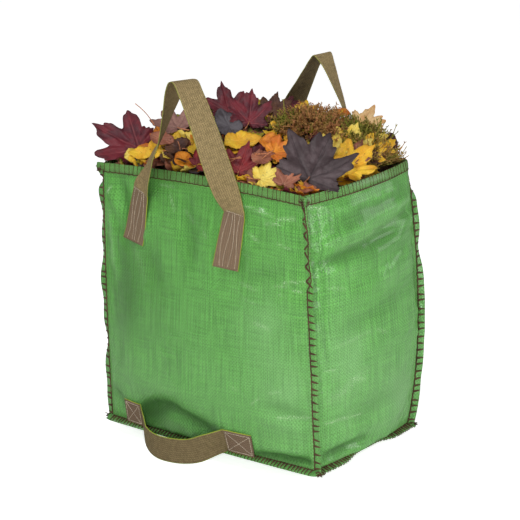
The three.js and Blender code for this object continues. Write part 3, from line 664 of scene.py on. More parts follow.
def group(name, inputs, outputs, build):
    """A shader node group with named inputs and outputs, built once by the given function."""
    if name in bpy.data.node_groups:
        return bpy.data.node_groups[name]
    tree = bpy.data.node_groups.new(name, "ShaderNodeTree")
    for label, kind, default in inputs:
        socket = tree.interface.new_socket(label, in_out="INPUT", socket_type=f"NodeSocket{kind}")
        if default is not None:
            socket.default_value = (*default, 1) if kind == "Color" else default
    for label, kind in outputs:
        tree.interface.new_socket(label, in_out="OUTPUT", socket_type=f"NodeSocket{kind}")
    source, sink = tree.nodes.new("NodeGroupInput"), tree.nodes.new("NodeGroupOutput")
    made = build(Nodes(tree), source.outputs)
    for label, socket in made.items():
        tree.links.new(socket, sink.inputs[label])
    return tree


def new_material(name, roughness, specular=0.5):
    """A material, its nodes and its main shader."""
    material = bpy.data.materials.new(name)
    material.use_nodes = True
    shader = material.node_tree.nodes["Principled BSDF"]
    shader.inputs["Roughness"].default_value = roughness
    shader.inputs["Specular IOR Level"].default_value = specular
    return material, Nodes(material.node_tree), shader


def connect(nodes, shader, colour, roughness=None, height=None, strength=0.5, distance=0.001):
    """Links colour, roughness and, through a bump, height to the main shader."""
    nodes.tree.links.new(colour, shader.inputs["Base Color"])
    if roughness is not None:
        nodes.tree.links.new(roughness, shader.inputs["Roughness"])
    if height is not None:
        bump = nodes.add("ShaderNodeBump", {"Height": height, "Strength": strength, "Distance": distance})
        nodes.tree.links.new(bump.outputs[0], shader.inputs["Normal"])


def woven_tapes():
    """Flat tapes woven over and under: sin(pi x / tape) sin(pi y / tape) gives the height, and noise
    stretched along each run of tapes its tone."""

    def build(n, given):
        scaled = n.add("ShaderNodeVectorMath", {0: given["Flat"], "Scale": 1 / MM}, operation="SCALE")
        flat = scaled.outputs[0]
        wander = n.noise(flat, 0.02, 1)
        x = n.total(n.axis(flat, "X"), n.product(wander, 3.0))
        y = n.total(n.axis(flat, "Y"), n.product(wander, 3.0))
        px = n.math("DIVIDE", n.product(x, np.pi), given["Tape"])
        py = n.math("DIVIDE", n.product(y, np.pi), given["Tape"])
        height = n.product(n.math("SINE", px), n.math("SINE", py))
        upright = n.noise(n.join(n.product(x, 0.42), n.product(y, 0.010)), 1.0, 3, 0.7)
        level = n.noise(n.join(n.product(x, 0.014), n.product(y, 0.42)), 1.0, 3, 0.7)
        tone = n.total(n.product(upright, 0.62), n.product(level, 0.38))
        broken = n.noise(n.join(n.product(x, 0.38), n.product(y, 0.5)), 1.0, 3, 0.75)
        return {"Height": height, "Tone": tone, "Broken": broken}

    return group(
        "woven tapes",
        [("Flat", "Vector", None), ("Tape", "Float", 3.3)],
        [("Height", "Float"), ("Tone", "Float"), ("Broken", "Float")],
        build,
    )


def leaf_veins():
    """Veins that fan from the foot of the blade: the distance r |sin(a - vein)| to the nearest of three
    angles on each side, and finer side veins slanting from each."""

    def build(n, given):
        x = n.total(n.axis(given["Flat"], "X"), given["Foot"])
        y = n.math("ABSOLUTE", n.axis(given["Flat"], "Y"))
        reach = n.math("SQRT", n.total(n.product(x, x), n.product(y, y)))
        angle = n.math("ARCTAN2", y, x)
        middle = n.product(reach, n.math("ABSOLUTE", n.math("SINE", angle)))
        nearest = middle
        for vein in SIDE_VEINS:
            apart = n.less(angle, vein)
            away = n.product(reach, n.math("ABSOLUTE", n.math("SINE", apart)))
            behind = n.math("LESS_THAN", n.math("COSINE", apart), 0.0)
            away = n.total(n.total(away, behind), n.less(1.0, given["Fan"]))
            nearest = n.math("MINIMUM", nearest, away)
        thick = n.product(n.less(1.25, reach), 0.014)
        widths_away = n.math("DIVIDE", nearest, n.math("MAXIMUM", thick, 0.002))
        main = n.less(1.0, n.ramp(widths_away, 0.5, 1.8))
        ahead = n.less(reach, n.product(nearest, 0.9))
        beat = n.math("ABSOLUTE", n.math("SINE", n.product(ahead, 26.0)))
        fine = n.less(1.0, n.ramp(beat, 0.05, 0.3))
        return {"Main": main, "Fine": fine}

    return group(
        "leaf veins",
        [("Flat", "Vector", None), ("Foot", "Float", FEET["maple"]), ("Fan", "Float", 1.0)],
        [("Main", "Float"), ("Fine", "Float")],
        build,
    )


def times(colour, k, add=0.0):
    """A colour times k plus add, held to 1."""
    return tuple(min(1, c * k + add) for c in colour)


def sheet_material(bag):
    """Glossy woven sheet under a thin clear film: faint streaks along its tapes; a painted sheen and a
    painted floor reflection that turn it paler; whitened creases, part real whitening and part painted glint;
    painted glints on the weave's crests and painted shade in its hollows; painted shade in the folds' valleys
    and in broad patches; and a darker hem band, part thread and part painted shade."""
    material, n, shader = new_material("woven green sheet", 0.4, 0.42)
    flat = n.flat_map()
    weave = n.add("ShaderNodeGroup", node_tree=woven_tapes())
    n.tree.links.new(flat, weave.inputs["Flat"])
    weave.inputs["Tape"].default_value = bag.tape_width / MM
    height, tone, broken = (weave.outputs[key] for key in ("Height", "Tone", "Broken"))
    crease, painted_light, painted_shade, hem = (n.attribute(name) for name in ("crease", "painted_light", "painted_shade", "hem"))
    colour = tuple(bag.sheet_colour)
    base = n.blend(n.ramp(tone, 0.4, 0.6), times(colour, 0.66), times(colour, 1.26, 0.014))
    large = n.noise(n.place(), 7.0, 3, 0.55)
    # Painted reflection of the white floor: the walls turn paler toward the bottom
    low = n.ramp(n.axis(n.place(), "Z"), 0.42, 0.12)
    # Painted sheen: the strokes' painted light and the painted floor reflection, broken up by large noise and
    # the tape streaks, blend toward a pale grey green
    painted_sheen = n.total(n.product(low, 0.3), n.product(painted_light, 0.95), clamp=True)
    painted_sheen = n.product(painted_sheen, n.total(0.45, n.product(n.ramp(large, 0.3, 0.7), 0.55)))
    streaked = n.total(0.7, n.product(n.ramp(tone, 0.35, 0.65), 0.45))
    painted_sheen = n.product(painted_sheen, streaked, clamp=True)
    base = n.blend(painted_sheen, base, (0.26, 0.58, 0.20))
    # Painted shade in the weave's hollows, and painted glints on its crests where the broken noise allows
    base = n.paint(base, n.ramp(height, -0.1, -0.9), 0.5, times(colour, 0.5))
    glint = n.product(n.ramp(height, 0.3, 0.9), n.ramp(broken, 0.46, 0.62))
    base = n.paint(base, glint, 0.42, (0.36, 0.62, 0.30))
    # Creases whitened partly for real and partly as painted glints, broken into spots
    spots = n.product(n.ramp(broken, 0.49, 0.60), 1.25)
    whitening_and_glints = n.product(crease, spots, clamp=True)
    base = n.paint(base, whitening_and_glints, 0.9, (0.62, 0.84, 0.52))
    # Painted shade in the folds' valleys and in broad darker patches
    base = n.paint(base, painted_shade, 0.75, times(colour, 0.28))
    # The hem band is darker: partly its dense thread, partly painted shade between the stitches
    base = n.paint(base, hem, 0.5, (0.14, 0.27, 0.070))
    rough = n.total(0.27, n.product(n.ramp(broken, 0.3, 0.7), 0.25))
    connect(n, shader, base, rough, n.total(height, n.product(broken, 3.0)), 1.0, 0.0013)
    film = n.total(0.06, n.product(n.ramp(broken, 0.42, 0.58), 0.55))
    n.tree.links.new(film, shader.inputs["Coat Weight"])
    shader.inputs["Coat Roughness"].default_value = 0.17
    return material


def webbing_material(bag, name, colour, edge_green):
    """Twill webbing: ribs along the strap with yarns that slant one way and the other in turn, darker in
    patches, with painted shade on its inner side, browner where it is sewn down, and with green edges."""
    material, n, shader = new_material(name, 0.85, 0.2)
    flat = n.flat_map()
    x = n.product(n.axis(flat, "X"), 1 / MM)
    y = n.product(n.axis(flat, "Y"), 1 / MM)
    side = n.math("PINGPONG", x, 2.1)
    groove = n.ramp(n.math("COSINE", n.product(x, 2 * np.pi / 4.2)), 0.1, 1.0)
    yarn = n.total(y, n.product(side, 1.5))
    slant = n.math("SINE", n.product(yarn, 2 * np.pi / 3.4))
    height = n.less(n.product(slant, 0.7), n.product(groove, 0.6))
    fuzz = n.noise(n.join(n.product(x, 0.5), n.product(y, 0.5)), 1.0, 4, 0.75)
    mottled = n.total(height, n.product(n.less(fuzz, 0.5), 2.2))
    base = n.blend(n.ramp(mottled, -1.1, 0.6), times(colour, 0.42), times(colour, 1.5, 0.01))
    broad = n.noise(n.join(n.product(x, 0.10), n.product(y, 0.16)), 1.0, 3, 0.65)
    base = n.paint(base, n.ramp(broad, 0.40, 0.66), 0.5, times(colour, 0.5))
    sewn, inner = n.attribute("sewn"), n.attribute("inner")
    brown = n.blend(n.ramp(mottled, -1.2, 0.6), (0.075, 0.045, 0.030), (0.25, 0.165, 0.115))
    base = n.paint(base, sewn, 0.8, brown)
    # Painted shade on the strap's inner side
    base = n.paint(base, inner, 0.55, times(colour, 0.3))
    edge = n.ramp(n.math("ABSOLUTE", x), WEB_WIDTH / 2 - 1.3, WEB_WIDTH / 2 - 0.5)
    green = n.total(edge_green, n.product(sewn, 0.9 - edge_green))
    base = n.blend(n.product(edge, green), base, tuple(bag.edge_colour))
    connect(n, shader, base, None, height, 0.6, 0.0009)
    return material


def thread_material(name, colour):
    """Thread: a fine noise for its strands, and a softer one over it, mix a darker and a paler tone."""
    material, n, shader = new_material(name, 0.7, 0.3)
    place = n.place()
    twist = n.noise(place, 900.0, 1)
    soft = n.noise(place, 60.0, 2)
    tone = n.total(n.product(twist, 0.6), n.product(soft, 0.4))
    base = n.blend(n.ramp(tone, 0.35, 0.65), times(colour, 0.6), times(colour, 1.5))
    connect(n, shader, base, None, twist, 0.4, 0.0004)
    return material


def leaf_material(name, fan, foot):
    """A blade with fanned veins, or a middle vein alone where fan is nought: patches, grain and dark
    spots in its colour, a darker rim, and darker all over by its own shade."""
    colour, patch, vein, spotted = LEAF_FINISHES[name]
    material, n, shader = new_material(f"{name} leaf" if fan else f"{name} oval leaf", 0.55, 0.35)
    flat = n.flat_map()
    veins = n.add("ShaderNodeGroup", node_tree=leaf_veins())
    n.tree.links.new(flat, veins.inputs["Flat"])
    veins.inputs["Foot"].default_value = foot
    veins.inputs["Fan"].default_value = fan
    main, fine = veins.outputs["Main"], veins.outputs["Fine"]
    place = n.place()
    broad = n.noise(place, 38.0, 4, 0.6)
    grain = n.noise(place, 320.0, 3, 0.65)
    shade = n.attribute("shade")
    base = n.blend(n.ramp(broad, 0.4, 0.62), colour, patch)
    base = n.paint(base, n.ramp(grain, 0.35, 0.7), 0.35, times(colour, 0.62))
    base = n.paint(base, fine, 0.14, vein)
    base = n.paint(base, main, 0.5, vein)
    spots = n.product(n.ramp(n.noise(place, 210.0, 1), 0.69, 0.74), spotted)
    base = n.blend(spots, base, (0.05, 0.022, 0.012))
    rim = n.product(n.attribute("rim"), 0.4)
    base = n.blend(rim, base, times(patch, 0.55))
    base = n.blend(shade, base, times(patch, 0.35))
    height = n.total(main, n.total(n.product(fine, 0.35), n.product(grain, 0.5)))
    connect(n, shader, base, None, height, 0.5, 0.0009)
    return material


def litter_material():
    """Broken leaf and soil: two sizes of noise mix dark earth with brown scraps."""
    material, n, shader = new_material("packed litter", 0.9, 0.2)
    place = n.place()
    scraps = n.noise(place, 120.0, 4, 0.7)
    broad = n.noise(place, 30.0, 3)
    base = n.blend(n.ramp(scraps, 0.42, 0.62), (0.012, 0.007, 0.005), (0.075, 0.035, 0.018))
    base = n.paint(base, n.ramp(broad, 0.5, 0.7), 0.5, (0.13, 0.07, 0.03))
    connect(n, shader, base, None, scraps, 0.8, 0.004)
    return material


def moss_material():
    """Moss that runs from olive green to rusty brown, by each stem's own tone."""
    material, n, shader = new_material("moss", 0.75, 0.25)
    ramp = n.add("ShaderNodeValToRGB", {"Fac": n.attribute("tone")})
    stops = (
        (0.0, (0.13, 0.17, 0.010)), (0.3, (0.26, 0.24, 0.035)),
        (0.6, (0.38, 0.22, 0.060)), (1.0, (0.48, 0.20, 0.080)),
    )
    while len(ramp.color_ramp.elements) < len(stops):
        ramp.color_ramp.elements.new(0.5)
    for element, (position, colour) in zip(ramp.color_ramp.elements, stops):
        element.position = position
        element.color = (*colour, 1)
    grain = n.noise(n.place(), 260.0, 2)
    base = n.blend(n.product(n.ramp(grain, 0.4, 0.7), 0.4), ramp.outputs[0], (0.05, 0.035, 0.012))
    connect(n, shader, base)
    return material


def material_named(name, build, *args):
    """The material of that name, built when it is first asked for."""
    return bpy.data.materials.get(name) or build(*args)


# Panels


def allowance_share(side, s):
    """How much of the base seam's allowance shows: less where the right wall has slumped over it."""
    return 0.85 - 0.76 * np.exp(-(((np.asarray(s, float) - 152) / 62) ** 4)) * (side == "right")


def base_directions(side):
    """The way that the base seam's allowance points, outward and a little down, and the way square to it."""
    out = unit(np.array([*WALLS[side][1], -0.35]))
    return out, unit(UP - out * out[2])


def wall_grid(side, fine):
    """A wall's points row by row: its foot allowance, the wall with a seam allowance at each end, the
    rim turned over by a half circle, and the hem. Also each column's and each row's flat place."""
    corner, _, _, _, _, width = WALLS[side]
    ends = ((-1, corner), (1, (corner + 1) % 4))
    u = np.clip(crowded(int(width / WALL_STEP * fine)), -1, 1)
    spans = ((0, 0.16, 22), (0.16, 0.93, 75), (0.93, 1, 12))
    t = np.unique(np.concatenate([np.linspace(low, high, int(n * fine)) for low, high, n in spans]))[:, None]

    def columns(t, outer, shorter):
        """One row for each t: allowance, wall, allowance. outer is how far it stands off the cloth's
        middle."""
        middle = wall_surface(side, u[None, :], t) + wall_normal(side, u[None, :], t) * outer
        fins = []
        for sign, index in ends:
            along = allowance_direction(index, t)
            away = np.cross(along, UP) * sign
            root = corner_point(index, t[:, 0])[:, None] + away * (PLY + outer)
            reaches = FIN_ROWS if sign < 0 else FIN_ROWS[::-1]
            length = ALLOWANCE * (1 - shorter * reaches)
            fins.append(root + along * length[None, :, None] * reaches[None, :, None])
            middle[:, 0 if sign < 0 else -1] = root[:, 0]
        return np.concatenate([fins[0], middle, fins[1]], 1)

    out, up = base_directions(side)
    rows, heights = [], []
    s = np.concatenate([-ALLOWANCE * FIN_ROWS, (u + 1) / 2 * width, width + ALLOWANCE * FIN_ROWS[::-1]])
    for share in FIN_ROWS:
        row = columns(np.zeros((1, 1)), 0.0, 0.45 * share) + up * PLY
        rows.append(row + out * ALLOWANCE * share * allowance_share(side, s)[:, None])
        heights.append([-ALLOWANCE * share])
    rows.append(columns(t, 0.0, 0.0))
    heights.append(t[:, 0] * WALL_HEIGHT)
    for k in range(1, TURN_ROWS + 1):
        turn = np.pi * k / TURN_ROWS
        row = columns(np.ones((1, 1)), PLY * 1.2 * (1 - np.cos(turn)), 0.0)
        row[..., 2] += PLY * 1.2 * np.sin(turn)
        rows.append(row)
        heights.append([WALL_HEIGHT + turn])
    for k in range(1, HEM_ROWS + 1):
        share = k / HEM_ROWS
        puff = PLY * 2.4 + 0.9 * np.sin(np.pi * share)
        rows.append(columns(np.full((1, 1), mix(1, HEM_SHARE, share)), puff, 0.0))
        heights.append([WALL_HEIGHT + 3 + HEM * share])
    return np.concatenate(rows), s, np.concatenate(heights)


def make_wall(side, material):
    """A wall with its map, and for each point how creased it is, its painted sheen, its painted shade and
    whether it is in the hem.
    """
    points, s, heights = wall_grid(side, SHOWN_WALL if side in ("front", "right") else HIDDEN_WALL)
    rows, columns = points.shape[:2]
    uv = np.stack(np.meshgrid(s * MM, heights * MM), -1)
    across, above = np.meshgrid(s, heights + SEAM_LIFT)
    creases = [(*row[:4], row[4] * 0.62, row[5]) for row in CREASES[side]]
    # Strokes of painted light: painted sheen where positive, painted shade where negative
    painted_light = strokes(SHEEN_AND_SHADE_STROKES[side], across, above)
    # Painted shade: in the valleys of the folds, and where a painted-light stroke is negative
    painted_shade = np.clip(-strokes(FOLDS[side], across, above) / 11, 0, 1) - np.minimum(painted_light, 0)
    values = {
        "crease": np.clip(1.25 * strokes(creases, across, above), 0, 1).ravel(),
        "painted_light": np.clip(painted_light, 0, 1).ravel(),
        "painted_shade": np.clip(painted_shade, 0, 1).ravel(),
        "hem": np.repeat((heights > WALL_HEIGHT - 1).astype(float), columns),
    }
    faces = [grid_faces(rows, columns)]
    piece = make_piece(f"{side}_sheet", points, faces, material, uv, values, (f"{side}_panel",))
    thicken(piece, CLOTH)


def make_base(material):
    """The base: a grid of points between its seams, and its allowances below the walls' own."""
    u = np.concatenate([[-1], crowded(BASE_COLUMNS), [1]])
    v = np.concatenate([[-1], crowded(BASE_ROWS), [1]])
    u, v = np.clip(u, -1, 1), np.clip(v, -1, 1)
    ru, rv = np.zeros(len(u)), np.zeros(len(v))
    ru[[0, -1]] = rv[[0, -1]] = 1
    U, V = np.meshgrid(u, v)
    RU, RV = np.meshgrid(ru, rv)
    points = base_point(U, V)
    seam = (abs(U) > 0.9999) | (abs(V) > 0.9999)
    points[..., 2] -= 2 * PLY * seam
    shorter = np.where((RU > 0) & (RV > 0), 0.8, 1.0)
    slumped = allowance_share("right", (V + 1) / 2 * BASE_DEPTH)
    shorter = shorter * np.where((U > 0.9999) & (RV == 0), slumped, 1.0)
    out = unit(np.array([1, 0, -0.35]))
    points[..., 0] += np.sign(U) * out[0] * ALLOWANCE * RU * shorter
    points[..., 1] += np.sign(V) * out[0] * ALLOWANCE * RV * shorter
    points[..., 2] += out[2] * ALLOWANCE * np.maximum(RU, RV) * shorter
    points = points[:, ::-1]
    uv = points[..., :2] * MM
    # The base gets an even painted sheen and no painted shade
    piece = make_piece(
        "base_sheet", points, [grid_faces(*points.shape[:2])], material, uv,
        {"crease": 0.0, "painted_light": 0.3, "painted_shade": 0.0, "hem": 0.0}, ("base_panel",),
    )
    thicken(piece, CLOTH)


# Seams


def wrap_paths(root, tip, face, half):
    """Stitches that wrap an edge: up one face from root to tip, round the edge by a half circle, and
    down the other."""
    share = np.linspace(0, 1, 4)[None, :, None]
    turn = np.linspace(0, np.pi, 6)[1:-1][None, :, None]
    root, tip, face = root[:, None], tip[:, None], face[:, None]
    along = unit(tip - root)
    up = mix(root, tip, share) + face * half
    bend = tip + along * half * np.sin(turn) + face * half * np.cos(turn)
    down = mix(tip, root, share) - face * half
    return np.concatenate([up, bend, down], 1)


# Thickness of a wrapped stitch along its length: full at its two feet and thinner over the edge
STITCH_TAPER = np.array([2.1, 1.9, 1.6, 1.15, 0.9, 0.8, 0.8, 0.9, 1.15, 1.6, 1.9, 2.1])


def running_thread(points, radius):
    """One thread that follows a seam line."""
    return tubes(points[None], radius, THREAD_SIDES, UP + np.array([0.3, 0.2, 0]))


def corner_threads(radius, pitch, rng):
    """Bars over each corner's allowance, one every pitch up the seam and slanting to and fro near the top
    of the near corner, and a running thread on both its faces."""
    parts = []
    for index in range(4):
        count = int(WALL_HEIGHT / pitch)
        t = jittered(count, 0.18, rng) * 0.97
        along = allowance_direction(index, t)
        face = np.cross(along, UP)
        zigzag = np.where((index == 1) & (t > 0.68), 5.0 * (-1.0) ** np.arange(count), 0) / WALL_HEIGHT
        root = corner_point(index, np.clip(t - zigzag, 0, 1)) + along * 1.0
        drift = zigzag + rng.uniform(-1.5, 2.5, count) / WALL_HEIGHT
        tip = corner_point(index, np.clip(t + drift, 0, 1)) + along * (ALLOWANCE - 2.0)
        paths = wrap_paths(root, tip, face, PLY + CLOTH / 2 + radius * 0.6)
        parts.append(tubes(paths, radius * STITCH_TAPER, THREAD_SIDES, UP))
        line = np.linspace(0.004, 0.975, CORNER_POINTS)
        along = allowance_direction(index, line)
        face = np.cross(along, UP)
        wobble = 0.5 * np.sin(line * 260)[:, None]
        outward = smooth((line - 0.66) / 0.05)[:, None] * 10.5 if index == 1 else 0
        run = corner_point(index, line) + along * (1.6 + wobble + outward)
        for sign in (-1, 1):
            beside = face * sign * (PLY + CLOTH / 2 + radius * 0.7)
            parts.append(running_thread(run + beside, radius * 1.15))
    return joined(parts)


def hem_threads(radius, pitch, rng):
    """Bars over the rim, one every pitch, and a running thread along the hem's lower edge on both faces."""
    parts = []
    for side in WALLS:
        length = TOP_WIDTH if side in ("front", "back") else TOP_DEPTH
        count = int(length / pitch)
        u = jittered(count, 0.3, rng) * 2 - 1
        normal = wall_normal(side, u, np.ones_like(u))
        top = wall_surface(side, u, np.ones_like(u)) + normal * PLY
        shifted = np.clip(u + rng.uniform(-3.0, 3.0, count) / length, -1, 1)
        foot = wall_surface(side, shifted, np.full_like(u, HEM_SHARE - 0.002)) + normal * PLY
        paths = wrap_paths(foot, top, normal, PLY + CLOTH + radius)
        tangent = unit(np.cross(UP, normal))[:, None]
        parts.append(tubes(paths, radius, THREAD_SIDES, tangent))
        line = np.linspace(-1, 1, RUN_POINTS)
        normal = wall_normal(side, line, np.full_like(line, HEM_SHARE))
        edge = wall_surface(side, line, np.full_like(line, HEM_SHARE - 0.001))
        for off in (2 * PLY + CLOTH / 2 + radius * 0.7, -CLOTH / 2 - radius * 0.6):
            run = edge + normal * off
            run[:, 2] += 0.7 * np.sin(np.arange(RUN_POINTS) * 1.9)
            parts.append(running_thread(run, radius * 1.5))
    return joined(parts)


def base_threads(radius, pitch, rng):
    """Bars over the base seam's allowance, one every pitch, and a running thread above it."""
    parts = []
    for side, (_, facing, _, _, _, width) in WALLS.items():
        count = int(width / pitch)
        u = jittered(count, 0.15, rng) * 2 - 1
        along, up = base_directions(side)
        line = wall_point(side, u, np.zeros_like(u))
        root = line + along * 1.0
        tip = line + along * (ALLOWANCE * allowance_share(side, (u + 1) / 2 * width)[:, None] + 0.4)
        paths = wrap_paths(root, tip, np.broadcast_to(up, root.shape), PLY + CLOTH / 2 + radius)
        tangent = np.array([-facing[1], facing[0], 0.0])
        parts.append(tubes(paths, radius * STITCH_TAPER * 0.8, THREAD_SIDES, tangent))
        run = wall_point(side, np.linspace(-1, 1, RUN_POINTS), np.zeros(RUN_POINTS)) + along * 1.5
        parts.append(running_thread(run + up * (PLY + CLOTH / 2 + radius * 0.7), radius))
    return joined(parts)


def knot_threads(radius, rng):
    """Tangled ends at the foot and the top of each corner seam: short random loops about its two ends."""
    paths = []
    for index in range(4):
        for t, count, spread in ((0.0, 30, 6.5), (0.98, 30, 6.5)):
            along = allowance_direction(index, np.array([t]))[0]
            centre = corner_point(index, t) + along * (9 if t == 0 else 8)
            if t == 0:
                centre = centre + along * 3 - UP * 3.0
            steps = rng.normal(0, spread * 0.55, (count, 6, 3))
            steps[..., 2] *= 0.7
            loops = np.cumsum(steps, 1)
            loops -= loops.mean(1, keepdims=True)
            loops = np.clip(loops, -spread * 1.3, spread * 1.3)
            path = centre + loops
            fine = np.linspace(0, 5, 14)
            i = np.clip(fine.astype(int), 0, 4)
            f = smooth(fine - i)[None, :, None]
            paths.append(mix(path[:, i], path[:, i + 1], f))
    return tubes(np.concatenate(paths), radius, 4, np.array([0.3, 0.5, 0.8]))


# Handles


def curve_points(knots, shares):
    """A centripetal Catmull-Rom curve through the knots: a cubic on each span, its end slopes weighed by
    the square roots of the spans' lengths."""
    knots = np.asarray(knots, float)
    padded = np.concatenate([[2 * knots[0] - knots[1]], knots, [2 * knots[-1] - knots[-2]]])
    spans = len(knots) - 1
    at = np.clip(shares, 0, 1) * spans
    i = np.minimum(at.astype(int), spans - 1)
    w = (at - i)[:, None]
    p0, p1, p2, p3 = (padded[i + k] for k in range(4))
    pairs = ((p0, p1), (p1, p2), (p2, p3))
    d0, d1, d2 = (np.linalg.norm(b - a, axis=1, keepdims=True) ** 0.5 for a, b in pairs)
    m1 = ((p1 - p0) / d0 - (p2 - p0) / (d0 + d1) + (p2 - p1) / d1) * d1
    m2 = ((p2 - p1) / d1 - (p3 - p1) / (d1 + d2) + (p3 - p2) / d2) * d1
    return p1 + m1 * w + (-3 * p1 + 3 * p2 - 2 * m1 - m2) * w**2 + (2 * p1 - 2 * p2 + m1 + m2) * w**3


def sewn_run(side, start, end, count, tilts=(0.0, 0.0)):
    """A straight run of places on a wall: their middles, the way across the strap, and the way out. The
    strap may be tilted about its length, by one angle at its start and another at its end, and stands
    off the wall by as much."""
    rightward = 1 if WALLS[side][1][1] < 0 else -1
    share = np.linspace(0, 1, count)
    x, z = mix(start[0], end[0], share), mix(start[1], end[1], share)
    u = rightward * x / (TOP_WIDTH / 2)
    t = wall_share(side, u, z)
    heading = unit(np.array([end[0] - start[0], 0, end[1] - start[1]], float))
    normal = wall_normal(side, u, t)
    across = unit(np.cross(heading, normal))
    tilt = np.radians(mix(tilts[0], tilts[1], share))[:, None]
    across = unit(np.cos(tilt) * across + np.sin(tilt) * normal)
    lift = SEWN_LIFT + abs(np.sin(tilt)) * WEB_WIDTH * 0.42
    out = square_to(normal, across)
    folds = relief(side, u, t)[:, None]
    return wall_point(side, u, t) + normal * (lift + folds), across, unit(out)


def knots_of(side, rows):
    """The middle of each knot and the way across the strap there, from rows of x, how far the knot
    stands out from the rim, its height above the rim, and the strap's turn."""
    out_y = WALLS[side][1][1]
    middles = [(x, out_y * (TOP_DEPTH / 2 + out), RIM + above) for x, out, above, _ in rows]
    across = [(np.cos(np.radians(turn)), np.sin(np.radians(turn)), 0) for *_, turn in rows]
    return middles, across


def strap_stations(first, middles, across, last, free):
    """A whole handle: sewn run, curve through the knots with its width turning between them, sewn run."""
    knots = np.array([first[0][-1], *middles, last[0][0]])
    turns = np.array([first[1][-1], *across, last[1][0]])
    share = np.linspace(0, 1, free)
    points = curve_points(knots, share)
    at = share * (len(knots) - 1)
    width = read_off(at, np.arange(len(knots)), turns)
    ahead = unit(np.gradient(points, axis=0))
    width = square_to(width, ahead)
    middle = np.concatenate([first[0][:-1], points, last[0][1:]])
    width = np.concatenate([first[1][:-1], width, last[1][1:]])
    soft = np.array([1, 2, 3, 2, 1]) / 9
    padded = np.pad(width, ((2, 2), (0, 0)), mode="edge")
    smoothed = np.stack([np.convolve(padded[:, k], soft, "valid") for k in range(3)], -1)
    keep = len(first[0]) - 3
    width[keep:-keep] = smoothed[keep:-keep]
    ahead = unit(np.gradient(middle, axis=0))
    width = square_to(width, ahead)
    return middle, width, np.cross(width, ahead)


def strap(middle, width, out):
    """Webbing: a flat profile with rounded edges carried along the stations."""
    across = np.linspace(-1, 1, 21)
    half = WEB_THICK / 2 * (1 - 0.55 * abs(across) ** 16)
    upper = np.stack([across * WEB_WIDTH / 2, half], -1)
    lower = upper[::-1] * (1, -1)
    profile = np.concatenate([upper, lower])
    x, h = profile[:, 0], profile[:, 1]
    points = middle[:, None] + width[:, None] * x[None, :, None] + out[:, None] * h[None, :, None]
    length = lengths_along(middle)
    uv = np.stack(np.broadcast_arrays(x[None, :], length[:, None]), -1) * MM
    rows, columns = points.shape[:2]
    faces = grid_faces(rows, columns, wrap=True)
    caps = np.stack([np.arange(columns)[::-1], np.arange(columns) + (rows - 1) * columns])
    return points, [faces, caps], uv


def stitches_on(run, lines, pitch, radius, rng):
    """Pale stitches on a sewn run: dashes along each line, given by places across and along the patch,
    each a short rod sunk at its two ends."""
    middle, across, out = run
    length = lengths_along(middle)
    starts, ends = [], []
    for line in lines:
        line = np.asarray(line, float)
        runs = lengths_along(line)
        count = max(int(runs[-1] / pitch), 1)
        where = np.linspace(0, runs[-1], count + 1)
        starts.append(read_off(where[:-1] + STITCH_GAP * pitch, runs, line))
        ends.append(read_off(where[1:] - STITCH_GAP * pitch, runs, line))
    a, b = np.concatenate(starts), np.concatenate(ends)
    a, b = a + rng.normal(0, 0.25, a.shape), b + rng.normal(0, 0.25, b.shape)
    share = np.array([0, 0.2, 0.5, 0.8, 1])
    flat = mix(a[:, None], b[:, None], share[None, :, None])
    lift = WEB_THICK / 2 + np.array([-0.5, 0.35, 0.55, 0.35, -0.5]) * radius / 0.6
    place, way, up = (read_off(flat[..., 1], length, values) for values in (middle, across, out))
    paths = place + way * flat[..., :1] + up * lift[None, :, None]
    return tubes(paths, radius, 4, np.array([0.3, 0.4, 0.85]))


def front_handle():
    """The front strap: two patches under the hem and a loop that twists over between them."""
    top = RIM - HEM - PATCH_DROP
    first = sewn_run("front", (-158, top - PATCH_LENGTH), (-137, top), 26, (-4, 17))
    last = sewn_run("front", (80, top - 10), (68, top - 12 - PATCH_LENGTH), 26, (-2, 20))
    rows = (
        (-116, 13, -8, -37), (-97, 17, 28, -46), (-78, 17, 60, -57), (-60, 12, 116, -76),
        (-49, 6, 156, -95), (-36, 6, 174, -108), (-18, 12, 176, -114), (0, 18, 156, -112),
        (27, 20, 104, -118), (52, 17, 38, -134), (67, 9, -12, -152),
    )
    middles, across = knots_of("front", rows)
    return first, last, strap_stations(first, middles, across, last, CARRY_STATIONS)


def back_handle():
    """The back strap: two upright patches and a narrow loop that turns over at its top."""
    top = RIM - HEM - PATCH_DROP
    first = sewn_run("back", (-84, top - PATCH_LENGTH), (-82, top), 26)
    last = sewn_run("back", (106, top), (110, top - PATCH_LENGTH), 26)
    rows = (
        (-68, 19, -4, 194), (-40, 15, 72, 240), (-8, 12, 126, 262), (8, 12, 153, 270), (22, 11, 171, 268),
        (32, 11, 179, 264), (46, 11, 161, 280), (64, 12, 122, 292), (85, 13, 72, 303), (97, 21, 4, 336),
    )
    middles, across = knots_of("back", rows)
    return first, last, strap_stations(first, middles, across, last, CARRY_STATIONS)


def tipping_handle():
    """The low strap: two level sewn ends and a sagging run on its edge between them."""
    sewn = PATCH_FOOT + WEB_WIDTH / 2
    first = sewn_run("front", (-192, sewn), (-148, sewn), 14)
    last = sewn_run("front", (54, sewn), (114, sewn), 16)
    lowest = WEB_WIDTH / 2 + 2.5
    rows = (
        (-128, 44, sewn - 8, 4), (-108, 58, lowest + 6.5, 6), (-76, 68, lowest, 4), (-30, 65, lowest, 2),
        (4, 57, lowest + 5.5, 4), (32, 48, sewn - 11, 6),
    )
    middles = [(x, -(BASE_DEPTH / 2 + out), z) for x, out, z, _ in rows]
    across = [(0, np.sin(np.radians(lean)), -np.cos(np.radians(lean))) for *_, lean in rows]
    return first, last, strap_stations(first, middles, across, last, TIPPING_STATIONS)


